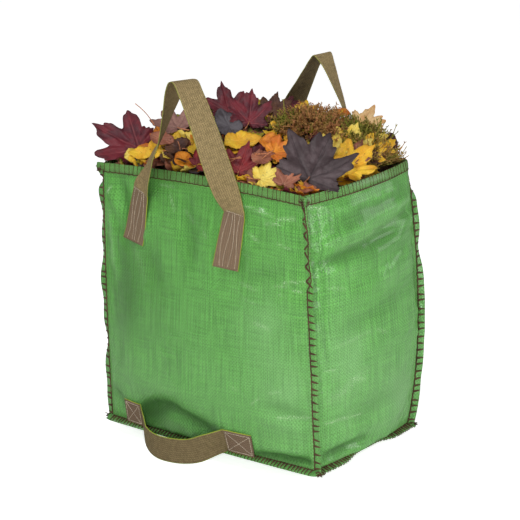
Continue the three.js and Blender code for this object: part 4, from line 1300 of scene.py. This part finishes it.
def patch_lines(length, flip):
    """A sewn patch's rows: one across its top, and four wandering rows along it."""
    top = length - 3 if not flip else 3
    lines = [[(-23, top), (23, top)]]
    along = np.linspace(4, length - 4, 9)
    for k, x in enumerate((-15, -5, 4, 14)):
        lines.append([(x + 2.6 * np.sin(0.05 * y + 1.7 * k), y) for y in along])
    return lines


def box_lines(length):
    """A square of stitches with a cross in it."""
    a, b = 5, length - 4
    return [[(-20, a), (20, a), (20, b), (-20, b), (-20, a)], [(-20, a), (20, b)], [(20, a), (-20, b)]]


# Leaves


def vein_distance(x, y, foot):
    """How far each place of a blade is from the nearest vein: r |sin(a - vein)| ahead of the foot, for
    three angles."""
    x, y = x + foot, abs(y)
    reach, angle = np.hypot(x, y), np.arctan2(y, x)
    apart = angle[None] - np.array([0.0, *SIDE_VEINS]).reshape(3, *([1] * x.ndim))
    return np.min(reach * abs(np.sin(apart)) + (np.cos(apart) < 0), 0)


def leaf_blade(kind, length, rings, spokes, cup=0.1, fold=0.1, wave=0.05, ruffle=0.0, phase=0.0, crinkle=0.0):
    """A leaf about the middle of its blade, tip along +X: at angle A and share r of the outline, it rises
    by length times (cup r^2 + fold r |sin A| + wave r^2 sin(3 A + length) + ruffle r^3 sin(5 A + phase)),
    and by crinkle times fine ripples and grooves along the veins."""
    outline = np.array(OUTLINES[kind], float)
    angle = np.radians(np.linspace(-180, 180, spokes, endpoint=False))
    share = np.interp(abs(np.degrees(angle)), outline[:, 0], outline[:, 1])
    if phase:
        share = share * (1 + 0.06 * np.sin(2 * angle + phase) + 0.04 * np.sin(5 * angle + 2 * phase))
    if crinkle:
        teeth = 0.035 if kind == "maple" else 0.012
        share = share * (1 + teeth * np.sin(31 * angle + 3 * np.sin(4 * angle + phase)))
    reach = rings[:, None] * share[None, :]
    rise = cup * reach**2 + fold * reach * abs(np.sin(angle)) + wave * reach**2 * np.sin(3 * angle + length)
    uneven = 0.6 + 0.4 * np.sin(13 * angle + 2 * phase)
    rise = rise + ruffle * rings[:, None] ** 3 * np.sin(5 * angle + phase) * uneven
    x, y = reach * np.cos(angle), reach * np.sin(angle)
    if crinkle:
        fine = np.sin(11 * x + 1.5 * np.sin(13 * y) + phase) * np.sin(12 * y + phase)
        finer = np.sin(27 * x + phase) * np.sin(31 * y + 2 * phase + 2 * np.sin(9 * x))
        groove = np.exp(-((vein_distance(x, y, FEET["maple"]) / 0.035) ** 2))
        rise = rise + crinkle * (fine + 0.5 * finer - 1.6 * groove * (1 - rings[:, None] ** 4))
    points = np.stack([x, y, np.broadcast_to(rise, x.shape)], -1) * length
    return points, np.stack([x, y], -1), np.broadcast_to(rings[:, None], x.shape)


def laid(points, heading, toward, slope, x, y):
    """Turned to its heading, leaned by slope about the level line square to toward, and moved over its
    place."""
    turn = Matrix.Rotation(np.radians(heading), 3, "Z")
    axis = Vector((-np.sin(np.radians(toward)), np.cos(np.radians(toward)), 0))
    matrix = np.array(Matrix.Rotation(np.radians(slope), 3, axis) @ turn)
    return points @ matrix.T + (x, y, 0)


def blade_mesh(points, uv, ring):
    """A polar grid's points and faces, the middle first as one point."""
    rings, spokes = points.shape[:2]
    middle = points[0].mean(0, keepdims=True)
    flat = np.concatenate([middle, points[1:].reshape(-1, 3)])
    first = np.arange(spokes)
    fan = np.stack([np.zeros(spokes, int), 1 + first, 1 + (first + 1) % spokes], -1)
    quads = grid_faces(rings - 1, spokes, 1, wrap=True)
    quads = quads[:, [0, 3, 2, 1]]
    maps = np.concatenate([np.zeros((1, 2)), uv[1:].reshape(-1, 2)])
    rims = np.concatenate([[0], ring[1:].ravel()])
    return flat, [fan, quads], maps, rims


def stalk_of(length, stalk, turn, foot):
    """A stalk from the blade's foot: back by stalk times the leaf's length, swung to one side by turn and
    bowed upward."""
    share = np.linspace(0, 1, 9)
    swing = np.radians(turn) * share
    back = length * stalk
    return np.stack([
        -length * foot - back * share * np.cos(swing) + 0.06 * length,
        back * share * np.sin(swing),
        0.6 + length * 0.05 * share + 0.12 * back * np.sin(np.pi * share * 0.8),
    ], -1)


def fitted_leaf(name, row, rings, spokes, crinkle=0.0):
    """A top leaf in its finished size and place: its lowest point level with that of its CAD leaf, and
    then moved as its row of FITTED says. Also its flat map, its rings, its length and the whole move."""
    kind, colour, x, y, length, heading, toward, slope = row[:8]
    size, *move, _ = FITTED.get(name, (1.0, 0, 0, 0, colour))
    length *= size
    coarse, _, _ = leaf_blade(kind, length, np.array([0.0, 0.55, 1.0]), 60)
    low = laid(coarse, heading, toward, slope, x, y)[..., 2].min() - LEAF_THICK / 2
    move = np.array(move) + (0, 0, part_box(name)[0][2] / MM - low)
    phase = 0.6 + len(name) * 0.37
    points, uv, ring = leaf_blade(
        kind, length, rings, spokes, ruffle=LEAF_RUFFLE, phase=phase, crinkle=crinkle
    )
    return laid(points, heading, toward, slope, x, y) + move, uv, ring, length, move


def stalk_material():
    """One brown for every leaf stalk."""
    return material_named("leaf stalk", thread_material, "leaf stalk", (0.42, 0.16, 0.07))


def make_leaf(name, row):
    """A top leaf: its blade, and a tapering stalk where its row gives one."""
    kind, colour, x, y, length, heading, toward, slope, stalk, turn = row
    size, *_, look = FITTED.get(name, (1.0, 0, 0, 0, colour))
    rings, spokes = BIG_LEAF_GRID if length * size > BIG_LEAF else SMALL_LEAF_GRID
    crinkle = 0.017 if kind == "maple" else 0.012
    points, uv, ring, length, move = fitted_leaf(name, row, np.linspace(0, 1, rings), spokes, crinkle)
    flat, faces, maps, rims = blade_mesh(points, uv, ring)
    values = {"rim": smooth((rims - 0.8) / 0.2), "shade": 0.0}
    blade, slot = name.replace("_leaf", "_blade"), f"leaf_{colour}"
    piece = make_piece(blade, flat, faces, leaf_material_for(kind, look), maps, values, (name,))
    thicken(piece, BLADE_THICK)
    if stalk:
        path = laid(stalk_of(length, stalk, turn, FEET[kind]), heading, toward, slope, x, y) + move
        rod, rod_faces = tubes(path[None], np.linspace(0.75, 1.0, len(path)), 7, UP)
        make_piece(name.replace("_leaf", "_stalk"), rod, rod_faces, stalk_material())


def make_loose_stalks():
    """Stalks that stand out of the heap, each a rod between two places that bows to one side."""
    ends = np.array(LOOSE_STALKS, float)
    share = np.linspace(0, 1, 9)[None, :, None]
    paths = mix(ends[:, None, :3], ends[:, None, 3:], share) + np.sin(np.pi * share) * (0, 2.5, 4)
    points, faces = tubes(paths, 0.9, 6, UP)
    make_piece("loose_stalks", points, faces, stalk_material())


def leaf_material_for(kind, colour):
    """Maple leaves have fanned veins and oval ones a middle vein alone."""
    if kind == "oval":
        return material_named(f"{colour} oval leaf", leaf_material, colour, 0.0, FEET[kind])
    return material_named(f"{colour} leaf", leaf_material, colour, 1.0, FEET[kind])


# Litter


# How far the litter lies under the heap's top, and how far under the rim a leaf may settle at most
LITTER_SINK, RIM_DROP = 15.0, 15.0

# How far the litter's rings lie inside the walls, and points along each wall
LITTER_INSET, LITTER_POINTS = 17.0, 30

# How far a placed leaf may be pushed down to clear the top leaves, and the gap left under those
PLACED_GIVE, LEAF_GAP = 24.0, 0.9

# Share of the random leaves laid along the rim, and how high one may reach over the heap and the rim
BY_RIM, OVER_HEAP, OVER_RIM = 0.42, 24, 18

# A leaf is kept where more than this share of it lies less than this depth under the top
SHOWN_SHARE, SHOWN_DEPTH = 0.1, 4

# Size of the cells in which heights are kept
CELL = 3.0



def litter_points():
    """The load's body: rings just inside the walls, and the heap's rings sunk below its leaves."""
    u = np.linspace(-1, 1, LITTER_POINTS + 1)[:-1]

    def ring(t, inset):
        at = np.full_like(u, t)
        row = np.concatenate([wall_point(side, u, at) - wall_normal(side, u, at) * inset for side in WALLS])
        row[:, :2] *= 1 - 0.012
        return row

    rings = [ring(t, LITTER_INSET) for t in (0.02, 0.1, 0.2, 0.35, 0.5, 0.65, 0.8, 0.92)]
    edge = ring(HEM_SHARE, 2.0)
    edge[:, 2] = RIM - HEM - LITTER_SINK
    rings.append(edge)
    for share in np.linspace(0.95, 0.05, 19):
        row = edge * (share, share, 1)
        row[:, 2] = heap_at(row[:, 0], row[:, 1]) - LITTER_SINK
        row[:, 2] += 2.5 * np.sin(row[:, 0] / 6.1 + 3 * np.sin(row[:, 1] / 9)) * np.sin(row[:, 1] / 5.3)
        rings.append(row)
    return np.array(rings)


def height_cells():
    """A table of the litter's heights over cells of the rim's plan, nowhere far below the rim."""
    nx, ny = int(TOP_WIDTH / CELL) + 16, int(TOP_DEPTH / CELL) + 16
    x = (np.arange(nx) - nx / 2) * CELL
    y = (np.arange(ny) - ny / 2) * CELL
    X, Y = np.meshgrid(x, y, indexing="ij")
    return np.maximum(heap_at(X, Y) - LITTER_SINK, RIM - RIM_DROP), nx, ny


def cells_of(points, nx, ny):
    """The cell of the height table that each point lies over."""
    i = np.clip(np.round(points[:, 0] / CELL + nx / 2).astype(int), 0, nx - 1)
    j = np.clip(np.round(points[:, 1] / CELL + ny / 2).astype(int), 0, ny - 1)
    return i, j


# Colours of the random leaves, and how common each is
FILLERS = (
    ("yellow", 0.25), ("lemon", 0.09), ("orange", 0.10), ("rust", 0.18), ("umber", 0.13), ("crimson", 0.12),
    ("plum", 0.07), ("green", 0.06),
)


def room_inside(x, y):
    """Half the bag's inner width and depth at the rim, along the lines through a place."""
    u, v = np.clip(2 * x / TOP_WIDTH, -1, 1), np.clip(2 * y / TOP_DEPTH, -1, 1)
    wide = abs(wall_point("right" if x > 0 else "left", v, 0.97)[..., 0])
    deep = abs(wall_point("back" if y > 0 else "front", u, 0.97)[..., 1])
    return np.array([wide - 3, deep - 3])


def shows(flat, heights):
    """Whether more than a tenth of a leaf's points lie less than 4 mm below the top of the heap."""
    i, j = cells_of(flat, *heights.shape)
    return np.mean(flat[:, 2] > heights[i, j] - SHOWN_DEPTH) > SHOWN_SHARE


def scattered_leaves(count, rng):
    """Random leaves and then the placed ones, laid one after another: each is leaned, let down on the
    heights beneath it, and raises them. It is pushed down to clear the leaves on top, but a placed one
    stays where that takes more than PLACED_GIVE. Random ones that reach too high are left out, and so
    is every leaf that ends up buried."""
    heights, nx, ny = height_cells()
    ceiling = np.full_like(heights, 1e6)
    for name, row in LEAVES.items():
        points = fitted_leaf(name, row, np.linspace(0, 1, 36), 160)[0].reshape(-1, 3)
        i, j = cells_of(points, nx, ny)
        np.minimum.at(ceiling, (i, j), points[:, 2])
    names = [name for name, _ in FILLERS]
    weights = np.array([weight for _, weight in FILLERS])
    made = {name: [] for name in LEAF_FINISHES}
    for k in range(count + len(PLACED)):
        x = rng.uniform(-1, 1) * (TOP_WIDTH / 2 - 14)
        y = rng.uniform(-1, 1) * (TOP_DEPTH / 2 - 12)
        colour = names[rng.choice(len(names), p=weights / weights.sum())]
        kind = "maple" if rng.random() < 0.5 else "oval"
        length = rng.uniform(26, 48) if kind == "maple" else rng.uniform(18, 32)
        toward = rng.uniform(-180, 180) if rng.random() < 0.25 else rng.normal(-50, 40)
        heading = rng.uniform(0, 360)
        by_rim = k < count * BY_RIM
        if by_rim:
            along = rng.uniform(-1, 1)
            front = rng.random() < 0.6
            x = along * (TOP_WIDTH / 2 - 16) if front else TOP_WIDTH / 2 - rng.uniform(8, 30)
            y = -TOP_DEPTH / 2 + rng.uniform(8, 34) if front else along * (TOP_DEPTH / 2 - 16)
            if k % 3 == 0:
                x, y, toward = -x, -y, toward + 180
        slope = rng.uniform(20, 55) if by_rim else rng.uniform(4, 44)
        if k >= count:
            kind, colour, x, y, length, heading, toward, slope = PLACED[k - count]
        shape = leaf_blade(
            kind, length, SCATTERED_RINGS, SCATTERED_SPOKES, rng.uniform(-0.15, 0.4),
            rng.uniform(-0.2, 0.45), rng.uniform(-0.15, 0.15), rng.uniform(0.04, 0.16),
            rng.uniform(0.1, 6), 0.03,
        )
        points = laid(shape[0], heading, toward, slope, x, y)
        flat = points.reshape(-1, 3)
        limit = room_inside(x, y)
        flat[:, :2] -= np.maximum(flat[:, :2].max(0) - limit, 0) - np.maximum(-limit - flat[:, :2].min(0), 0)
        i, j = cells_of(flat, nx, ny)
        rise = np.quantile(heights[i, j] - flat[:, 2], 0.85) + 0.4
        room = np.min(ceiling[i, j] - flat[:, 2]) - LEAF_GAP
        flat[:, 2] += min(rise, room) if k < count or room > rise - PLACED_GIVE else rise
        if k < count and flat[:, 2].max() > max(heap_at(x, y) + OVER_HEAP, RIM + OVER_RIM):
            continue
        np.maximum.at(heights, (i, j), flat[:, 2] - 0.5)
        made[colour].append((kind, flat.reshape(points.shape), shape[1], shape[2], rng.random()))
    for colour, rows in made.items():
        made[colour] = [row for row in rows if shows(row[1].reshape(-1, 3), heights)]
    return made


def make_fillers(bag):
    """The scattered leaves, joined into one piece for each colour and kind."""
    rng = np.random.default_rng(bag.seed)
    for colour, rows in scattered_leaves(bag.filler_leaves, rng).items():
        for kind in ("maple", "oval"):
            parts, maps, rims, shades = [], [], [], []
            for row in rows:
                if row[0] != kind:
                    continue
                flat, faces, uv, ring = blade_mesh(*row[1:4])
                parts.append((flat, faces))
                maps.append(uv)
                rims.append(ring)
                shades.append(np.full(len(flat), 0.35 * row[4] ** 2))
            if not parts:
                continue
            points, faces = joined(parts)
            values = {"rim": smooth((np.concatenate(rims) - 0.8) / 0.2), "shade": np.concatenate(shades)}
            piece = make_piece(
                f"scattered_{colour}_{kind}_leaves", points, faces, leaf_material_for(kind, colour),
                np.concatenate(maps), values,
            )
            thicken(piece, SCATTERED_THICK)


def make_litter():
    """The load as one closed body: its rings, and a fan of triangles over each end."""
    rings = litter_points()
    count = rings.shape[1]
    points = np.concatenate([rings.reshape(-1, 3), [rings[0].mean(0), rings[-1].mean(0)]])
    first = np.arange(count)
    following = (first + 1) % count
    last = (len(rings) - 1) * count
    low, high = len(points) - 2, len(points) - 1
    fans = np.concatenate([
        np.stack([np.full(count, low), following, first], -1),
        np.stack([np.full(count, high), last + first, last + following], -1),
    ])
    faces = [grid_faces(len(rings), count, wrap=True), fans]
    make_piece("litter_body", points, faces, litter_material(), replaces=("packed_litter",))


# Moss


def moss_stems(row, count, reach, rng, tone):
    """Feathery stems: each rises from a cushion, leans out from its middle and bends over, with six short
    side shoots."""
    x, y, width, depth, height = row
    angle = rng.uniform(0, 2 * np.pi, count)
    share = np.sqrt(rng.uniform(0, 1, count)) * 1.08
    px = x + np.cos(angle) * share * width / 2
    py = y + np.sin(angle) * share * depth / 2
    px, py = np.minimum(px, TOP_WIDTH / 2 - 12), np.clip(py, -TOP_DEPTH / 2 + 12, TOP_DEPTH / 2 - 12)
    dome = height * np.clip(1 - share**2.4, 0, 1)
    foot = np.stack([px, py, np.maximum(heap_at(px, py) + dome - 7, RIM - 4)], -1)
    lean = np.stack([np.cos(angle) * share * 0.9, np.sin(angle) * share * 0.9, np.full(count, 0.75)], -1)
    lean = unit(lean + rng.normal(0, 0.42, (count, 3)))
    lean[:, 2] = np.where(px > TOP_WIDTH / 2 - 30, abs(lean[:, 2]) + 0.4, lean[:, 2])
    length = rng.uniform(0.55, 1.2, count)[:, None] * reach
    curl = rng.normal(0, 0.5, (count, 3))
    step = np.linspace(0, 1, 5)[None, :, None]
    path = foot[:, None] + lean[:, None] * length[:, None] * step
    path = path + curl[:, None] * length[:, None] * step**2 * 0.55
    stem = tubes(path, np.linspace(1.2, 0.75, 5), 3, np.array([0.3, 0.2, 0.9]))
    shoots, tones = [], []
    own = tone(px, py) + rng.normal(0, 0.16, count)
    for k in (1, 2, 3, 3, 4, 4):
        start = path[:, k]
        way = unit(lean + rng.normal(0, 0.85, (count, 3)))
        size = reach * rng.uniform(0.16, 0.36, count)
        short = way[:, None] * size[:, None, None] * np.linspace(0, 1, 3)[None, :, None]
        shoots.append(tubes(start[:, None] + short, np.array([1.0, 0.85, 0.3]), 3, np.array([0.3, 0.2, 0.9])))
        tones.append(np.repeat(own, 9))
    points, faces = joined([stem, *shoots])
    return points, faces, np.clip(np.concatenate([np.repeat(own, 15), *tones]), 0, 1)


# Operators


def length_setting(name, description, default, low, high):
    """A setting in metres, held between low and high."""
    return FloatProperty(
        name=name, description=description, default=default, min=low, max=high, unit="LENGTH"
    )


def colour_setting(name, description, default):
    """A colour setting, with its parts held between 0 and 1."""
    return FloatVectorProperty(
        name=name, description=description, subtype="COLOR", default=default, min=0, max=1
    )


class GardenBagSettings(bpy.types.PropertyGroup):
    """Sizes and colours of the bag's finish."""

    tape_width: length_setting(
        "Tape width", "Width of the flat tapes that the sheet is woven from",
        0.0033, 0.001, 0.01,
    )
    thread_radius: length_setting(
        "Seam thread radius", "Half the thickness of the brown thread over the corner seams",
        0.0011, 0.0003, 0.002,
    )
    corner_pitch: length_setting(
        "Corner stitch spacing", "Distance between stitches up the corner seams",
        0.0140, 0.004, 0.03,
    )
    rim_pitch: length_setting(
        "Rim stitch spacing", "Distance between stitches along the rim; those of the base seam are closer",
        0.0104, 0.003, 0.03,
    )
    filler_leaves: IntProperty(
        name="Scattered leaves", description="How many leaves lie in the heap under the ones on top",
        default=620, min=0, max=1200,
    )
    moss_count: IntProperty(
        name="Moss stems", description="How many stems each cushion of moss has",
        default=680, min=1, max=4000,
    )
    seed: IntProperty(name="Seed", description="Start of the random numbers", default=11)
    sheet_colour: colour_setting("Sheet", "Colour of the woven sheet", (0.125, 0.455, 0.066))
    webbing_colour: colour_setting("Webbing", "Colour of the handles", (0.285, 0.210, 0.095))
    edge_colour: colour_setting("Webbing edge", "Colour of the webbing's edges", (0.36, 0.48, 0.030))
    seam_colour: colour_setting("Seam thread", "Colour of the thread over the seams", (0.074, 0.042, 0.021))


class GARDENBAG_OT_panels(bpy.types.Operator):
    """Make the four walls and the base from woven sheet"""

    bl_idname = "garden_bag.panels"
    bl_label = "Sheet Panels"

    def execute(self, context):
        material = sheet_material(context.scene.garden_bag)
        for side in WALLS:
            make_wall(side, material)
        make_base(material)
        return {"FINISHED"}


class GARDENBAG_OT_seams(bpy.types.Operator):
    """Make the brown thread over the corner seams, the rim and the base seam"""

    bl_idname = "garden_bag.seams"
    bl_label = "Seam Threads"

    def execute(self, context):
        bag = context.scene.garden_bag
        rng = np.random.default_rng(bag.seed)
        material = thread_material("brown seam thread", tuple(bag.seam_colour))
        radius = bag.thread_radius / MM
        made = (
            ("corner_seam_threads", corner_threads(radius, bag.corner_pitch / MM, rng)),
            ("rim_threads", hem_threads(radius * 0.6, bag.rim_pitch / MM, rng)),
            ("base_seam_threads", base_threads(radius, bag.rim_pitch / MM * 0.72, rng)),
            ("seam_end_threads", knot_threads(radius * 0.8, rng)),
        )
        for name, (points, faces) in made:
            make_piece(name, points, faces, material)
        return {"FINISHED"}


class GARDENBAG_OT_handles(bpy.types.Operator):
    """Make the three webbing handles and the stitches that hold them"""

    bl_idname = "garden_bag.handles"
    bl_label = "Webbing Handles"

    def execute(self, context):
        bag = context.scene.garden_bag
        rng = np.random.default_rng(bag.seed)
        webbing = webbing_material(bag, "khaki webbing", tuple(bag.webbing_colour), 0.35)
        # A copy of the webbing darkened to 0.62 as painted shade for the low tipping strap, with stronger
        # green edges
        shaded = webbing_material(bag, "worn khaki webbing", times(bag.webbing_colour, 0.62), 0.85)
        thread = thread_material("pale handle thread", (0.52, 0.45, 0.34))
        stitched = []
        for name, make, cloth, pitch in (
            ("front_carry_handle", front_handle, webbing, PATCH_PITCH),
            ("back_carry_handle", back_handle, webbing, PATCH_PITCH),
            ("tipping_handle", tipping_handle, shaded, BOX_PITCH),
        ):
            first, last, stations = make()
            points, faces, uv = strap(*stations)
            rows, columns = points.shape[:2]
            sewn = np.zeros(rows)
            sewn[: len(first[0]) - 1] = sewn[rows - len(last[0]) + 1:] = 1
            # The inner half of the strap's profile gets painted shade
            inner = (np.arange(columns) >= columns // 2).astype(float)
            values = {"sewn": np.repeat(sewn, columns), "inner": np.tile(inner, rows)}
            make_piece(name.replace("handle", "strap"), points, faces, cloth, uv, values, (name,))
            for flip, run in ((False, first), (True, last)):
                length = np.sum(np.linalg.norm(np.diff(run[0], axis=0), axis=1))
                plan = box_lines(length) if cloth is shaded else patch_lines(length, flip)
                stitched.append(stitches_on(run, plan, pitch, STITCH_RADIUS, rng))
        points, faces = joined(stitched)
        make_piece("handle_stitches", points, faces, thread)
        return {"FINISHED"}


class GARDENBAG_OT_litter(bpy.types.Operator):
    """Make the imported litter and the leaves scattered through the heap"""

    bl_idname = "garden_bag.litter"
    bl_label = "Packed Litter"

    def execute(self, context):
        make_litter()
        make_fillers(context.scene.garden_bag)
        make_loose_stalks()
        return {"FINISHED"}


class GARDENBAG_OT_moss(bpy.types.Operator):
    """Make the cushions of moss"""

    bl_idname = "garden_bag.moss"
    bl_label = "Moss"

    def execute(self, context):
        bag = context.scene.garden_bag
        rng = np.random.default_rng(bag.seed)
        material = moss_material()
        tones = {
            "moss_middle": lambda x, y: 0.78 - 0.6 * np.exp(-(((x - 76) / 20) ** 2) - ((y + 4) / 26) ** 2),
            "moss_right": lambda x, y: 0.30 + 0.3 * smooth((x - 190) / 50),
        }
        for name, row in MOSSES.items():
            x, y, width, depth, height = row
            place = (x + MOSS_MOVE[0], y + MOSS_MOVE[1])
            size = (width * MOSS_SPREAD[0], depth * MOSS_SPREAD[1], height)
            points, faces, tone = moss_stems((*place, *size), bag.moss_count, MOSS_REACH, rng, tones[name])
            values = {"tone": tone}
            make_piece(f"{name}_stems", points, faces, material, None, values, (name,))
        return {"FINISHED"}


class GARDENBAG_OT_leaves(bpy.types.Operator):
    """Make the leaves that lie on top of the heap"""

    bl_idname = "garden_bag.leaves"
    bl_label = "Top Leaves"

    def execute(self, context):
        for name, row in LEAVES.items():
            make_leaf(name, row)
        return {"FINISHED"}


def floor_material():
    """A pale floor that takes the bag's shadow, lifted toward white for the camera."""
    material, n, shader = new_material("studio floor", 0.9, 0.1)
    shader.inputs["Base Color"].default_value = (0.86, 0.86, 0.86, 1)
    path = n.add("ShaderNodeLightPath")
    seen = path.outputs["Is Camera Ray"]
    glow = n.add("ShaderNodeEmission", {"Color": (1, 1, 1, 1), "Strength": n.product(seen, 0.76)})
    both = n.add("ShaderNodeAddShader")
    n.tree.links.new(shader.outputs[0], both.inputs[0])
    n.tree.links.new(glow.outputs[0], both.inputs[1])
    n.tree.links.new(both.outputs[0], n.tree.nodes["Material Output"].inputs["Surface"])
    return material


def add_lamp(name, place, aim, size, power):
    """A rectangular lamp turned to the point it aims at."""
    data = bpy.data.lights.new(name, "AREA")
    data.shape = "RECTANGLE"
    data.size, data.size_y = size
    data.energy = power
    lamp = bpy.data.objects.new(name, data)
    lamp.location = place
    lamp.rotation_euler = (Vector(aim) - Vector(place)).to_track_quat("-Z", "Y").to_euler()
    bpy.context.scene.collection.objects.link(lamp)


class GARDENBAG_OT_stage(bpy.types.Operator):
    """Make the floor, the studio light and the camera"""

    bl_idname = "garden_bag.stage"
    bl_label = "Studio Stage"

    def execute(self, context):
        scene = context.scene
        scene.view_settings.view_transform = "Standard"
        size = 12.0
        mesh = bpy.data.meshes.new("studio_floor")
        corners = [(-size, -size, 0), (size, -size, 0), (size, size, 0), (-size, size, 0)]
        mesh.from_pydata(corners, [], [(0, 1, 2, 3)])
        mesh.materials.append(floor_material())
        floor = bpy.data.objects.new("studio_floor", mesh)
        scene.collection.objects.link(floor)

        world = bpy.data.worlds.new("studio")
        world.use_nodes = True
        scene.world = world
        n = Nodes(world.node_tree)
        path = n.add("ShaderNodeLightPath")
        seen = path.outputs["Is Camera Ray"]
        strength = n.total(0.28, n.product(seen, 0.72))
        back = world.node_tree.nodes["Background"]
        back.inputs["Color"].default_value = (1, 1, 1, 1)
        world.node_tree.links.new(strength, back.inputs["Strength"])

        for name, row in LAMPS.items():
            add_lamp(name, *row)

        azimuth, elevation, roll = np.radians(CAMERA_TURN)
        back_way = np.array([
            np.sin(azimuth) * np.cos(elevation), -np.cos(azimuth) * np.cos(elevation), np.sin(elevation)
        ])
        right = np.array([np.cos(azimuth), np.sin(azimuth), 0])
        above = np.cross(back_way, right)
        tilted = np.cos(roll) * right + np.sin(roll) * above
        above = -np.sin(roll) * right + np.cos(roll) * above
        place = np.array(CAMERA_AIM) * MM + back_way * CAMERA_DISTANCE
        data = bpy.data.cameras.new("camera")
        data.lens, data.sensor_width = CAMERA_LENS, 36.0
        data.clip_end = 60
        camera = bpy.data.objects.new("camera", data)
        matrix = Matrix.Identity(4)
        for column, axis in enumerate((tilted, above, back_way)):
            for row in range(3):
                matrix[row][column] = axis[row]
        matrix.translation = Vector(place)
        camera.matrix_world = matrix
        scene.collection.objects.link(camera)
        scene.camera = camera
        return {"FINISHED"}


STEPS = (
    GARDENBAG_OT_stage,
    GARDENBAG_OT_panels,
    GARDENBAG_OT_seams,
    GARDENBAG_OT_handles,
    GARDENBAG_OT_litter,
    GARDENBAG_OT_moss,
    GARDENBAG_OT_leaves,
)


class GARDENBAG_PT_sidebar(bpy.types.Panel):
    bl_label = "Garden Bag"
    bl_idname = "GARDENBAG_PT_sidebar"
    bl_space_type = "VIEW_3D"
    bl_region_type = "UI"
    bl_category = "Garden Bag"

    def draw(self, context):
        bag = context.scene.garden_bag
        for name in GardenBagSettings.__annotations__:
            self.layout.prop(bag, name)
        for step in STEPS:
            self.layout.operator(step.bl_idname)


CLASSES = (GardenBagSettings, *STEPS, GARDENBAG_PT_sidebar)


def register():
    for item in CLASSES:
        bpy.utils.register_class(item)
    bpy.types.Scene.garden_bag = PointerProperty(type=GardenBagSettings)


def unregister():
    del bpy.types.Scene.garden_bag
    for item in reversed(CLASSES):
        bpy.utils.unregister_class(item)


def main():
    register()
    bpy.ops.garden_bag.stage()
    bpy.ops.garden_bag.panels()
    bpy.ops.garden_bag.seams()
    bpy.ops.garden_bag.handles()
    bpy.ops.garden_bag.litter()
    bpy.ops.garden_bag.moss()
    bpy.ops.garden_bag.leaves()
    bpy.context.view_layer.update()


if __name__ == "__main__":
    main()
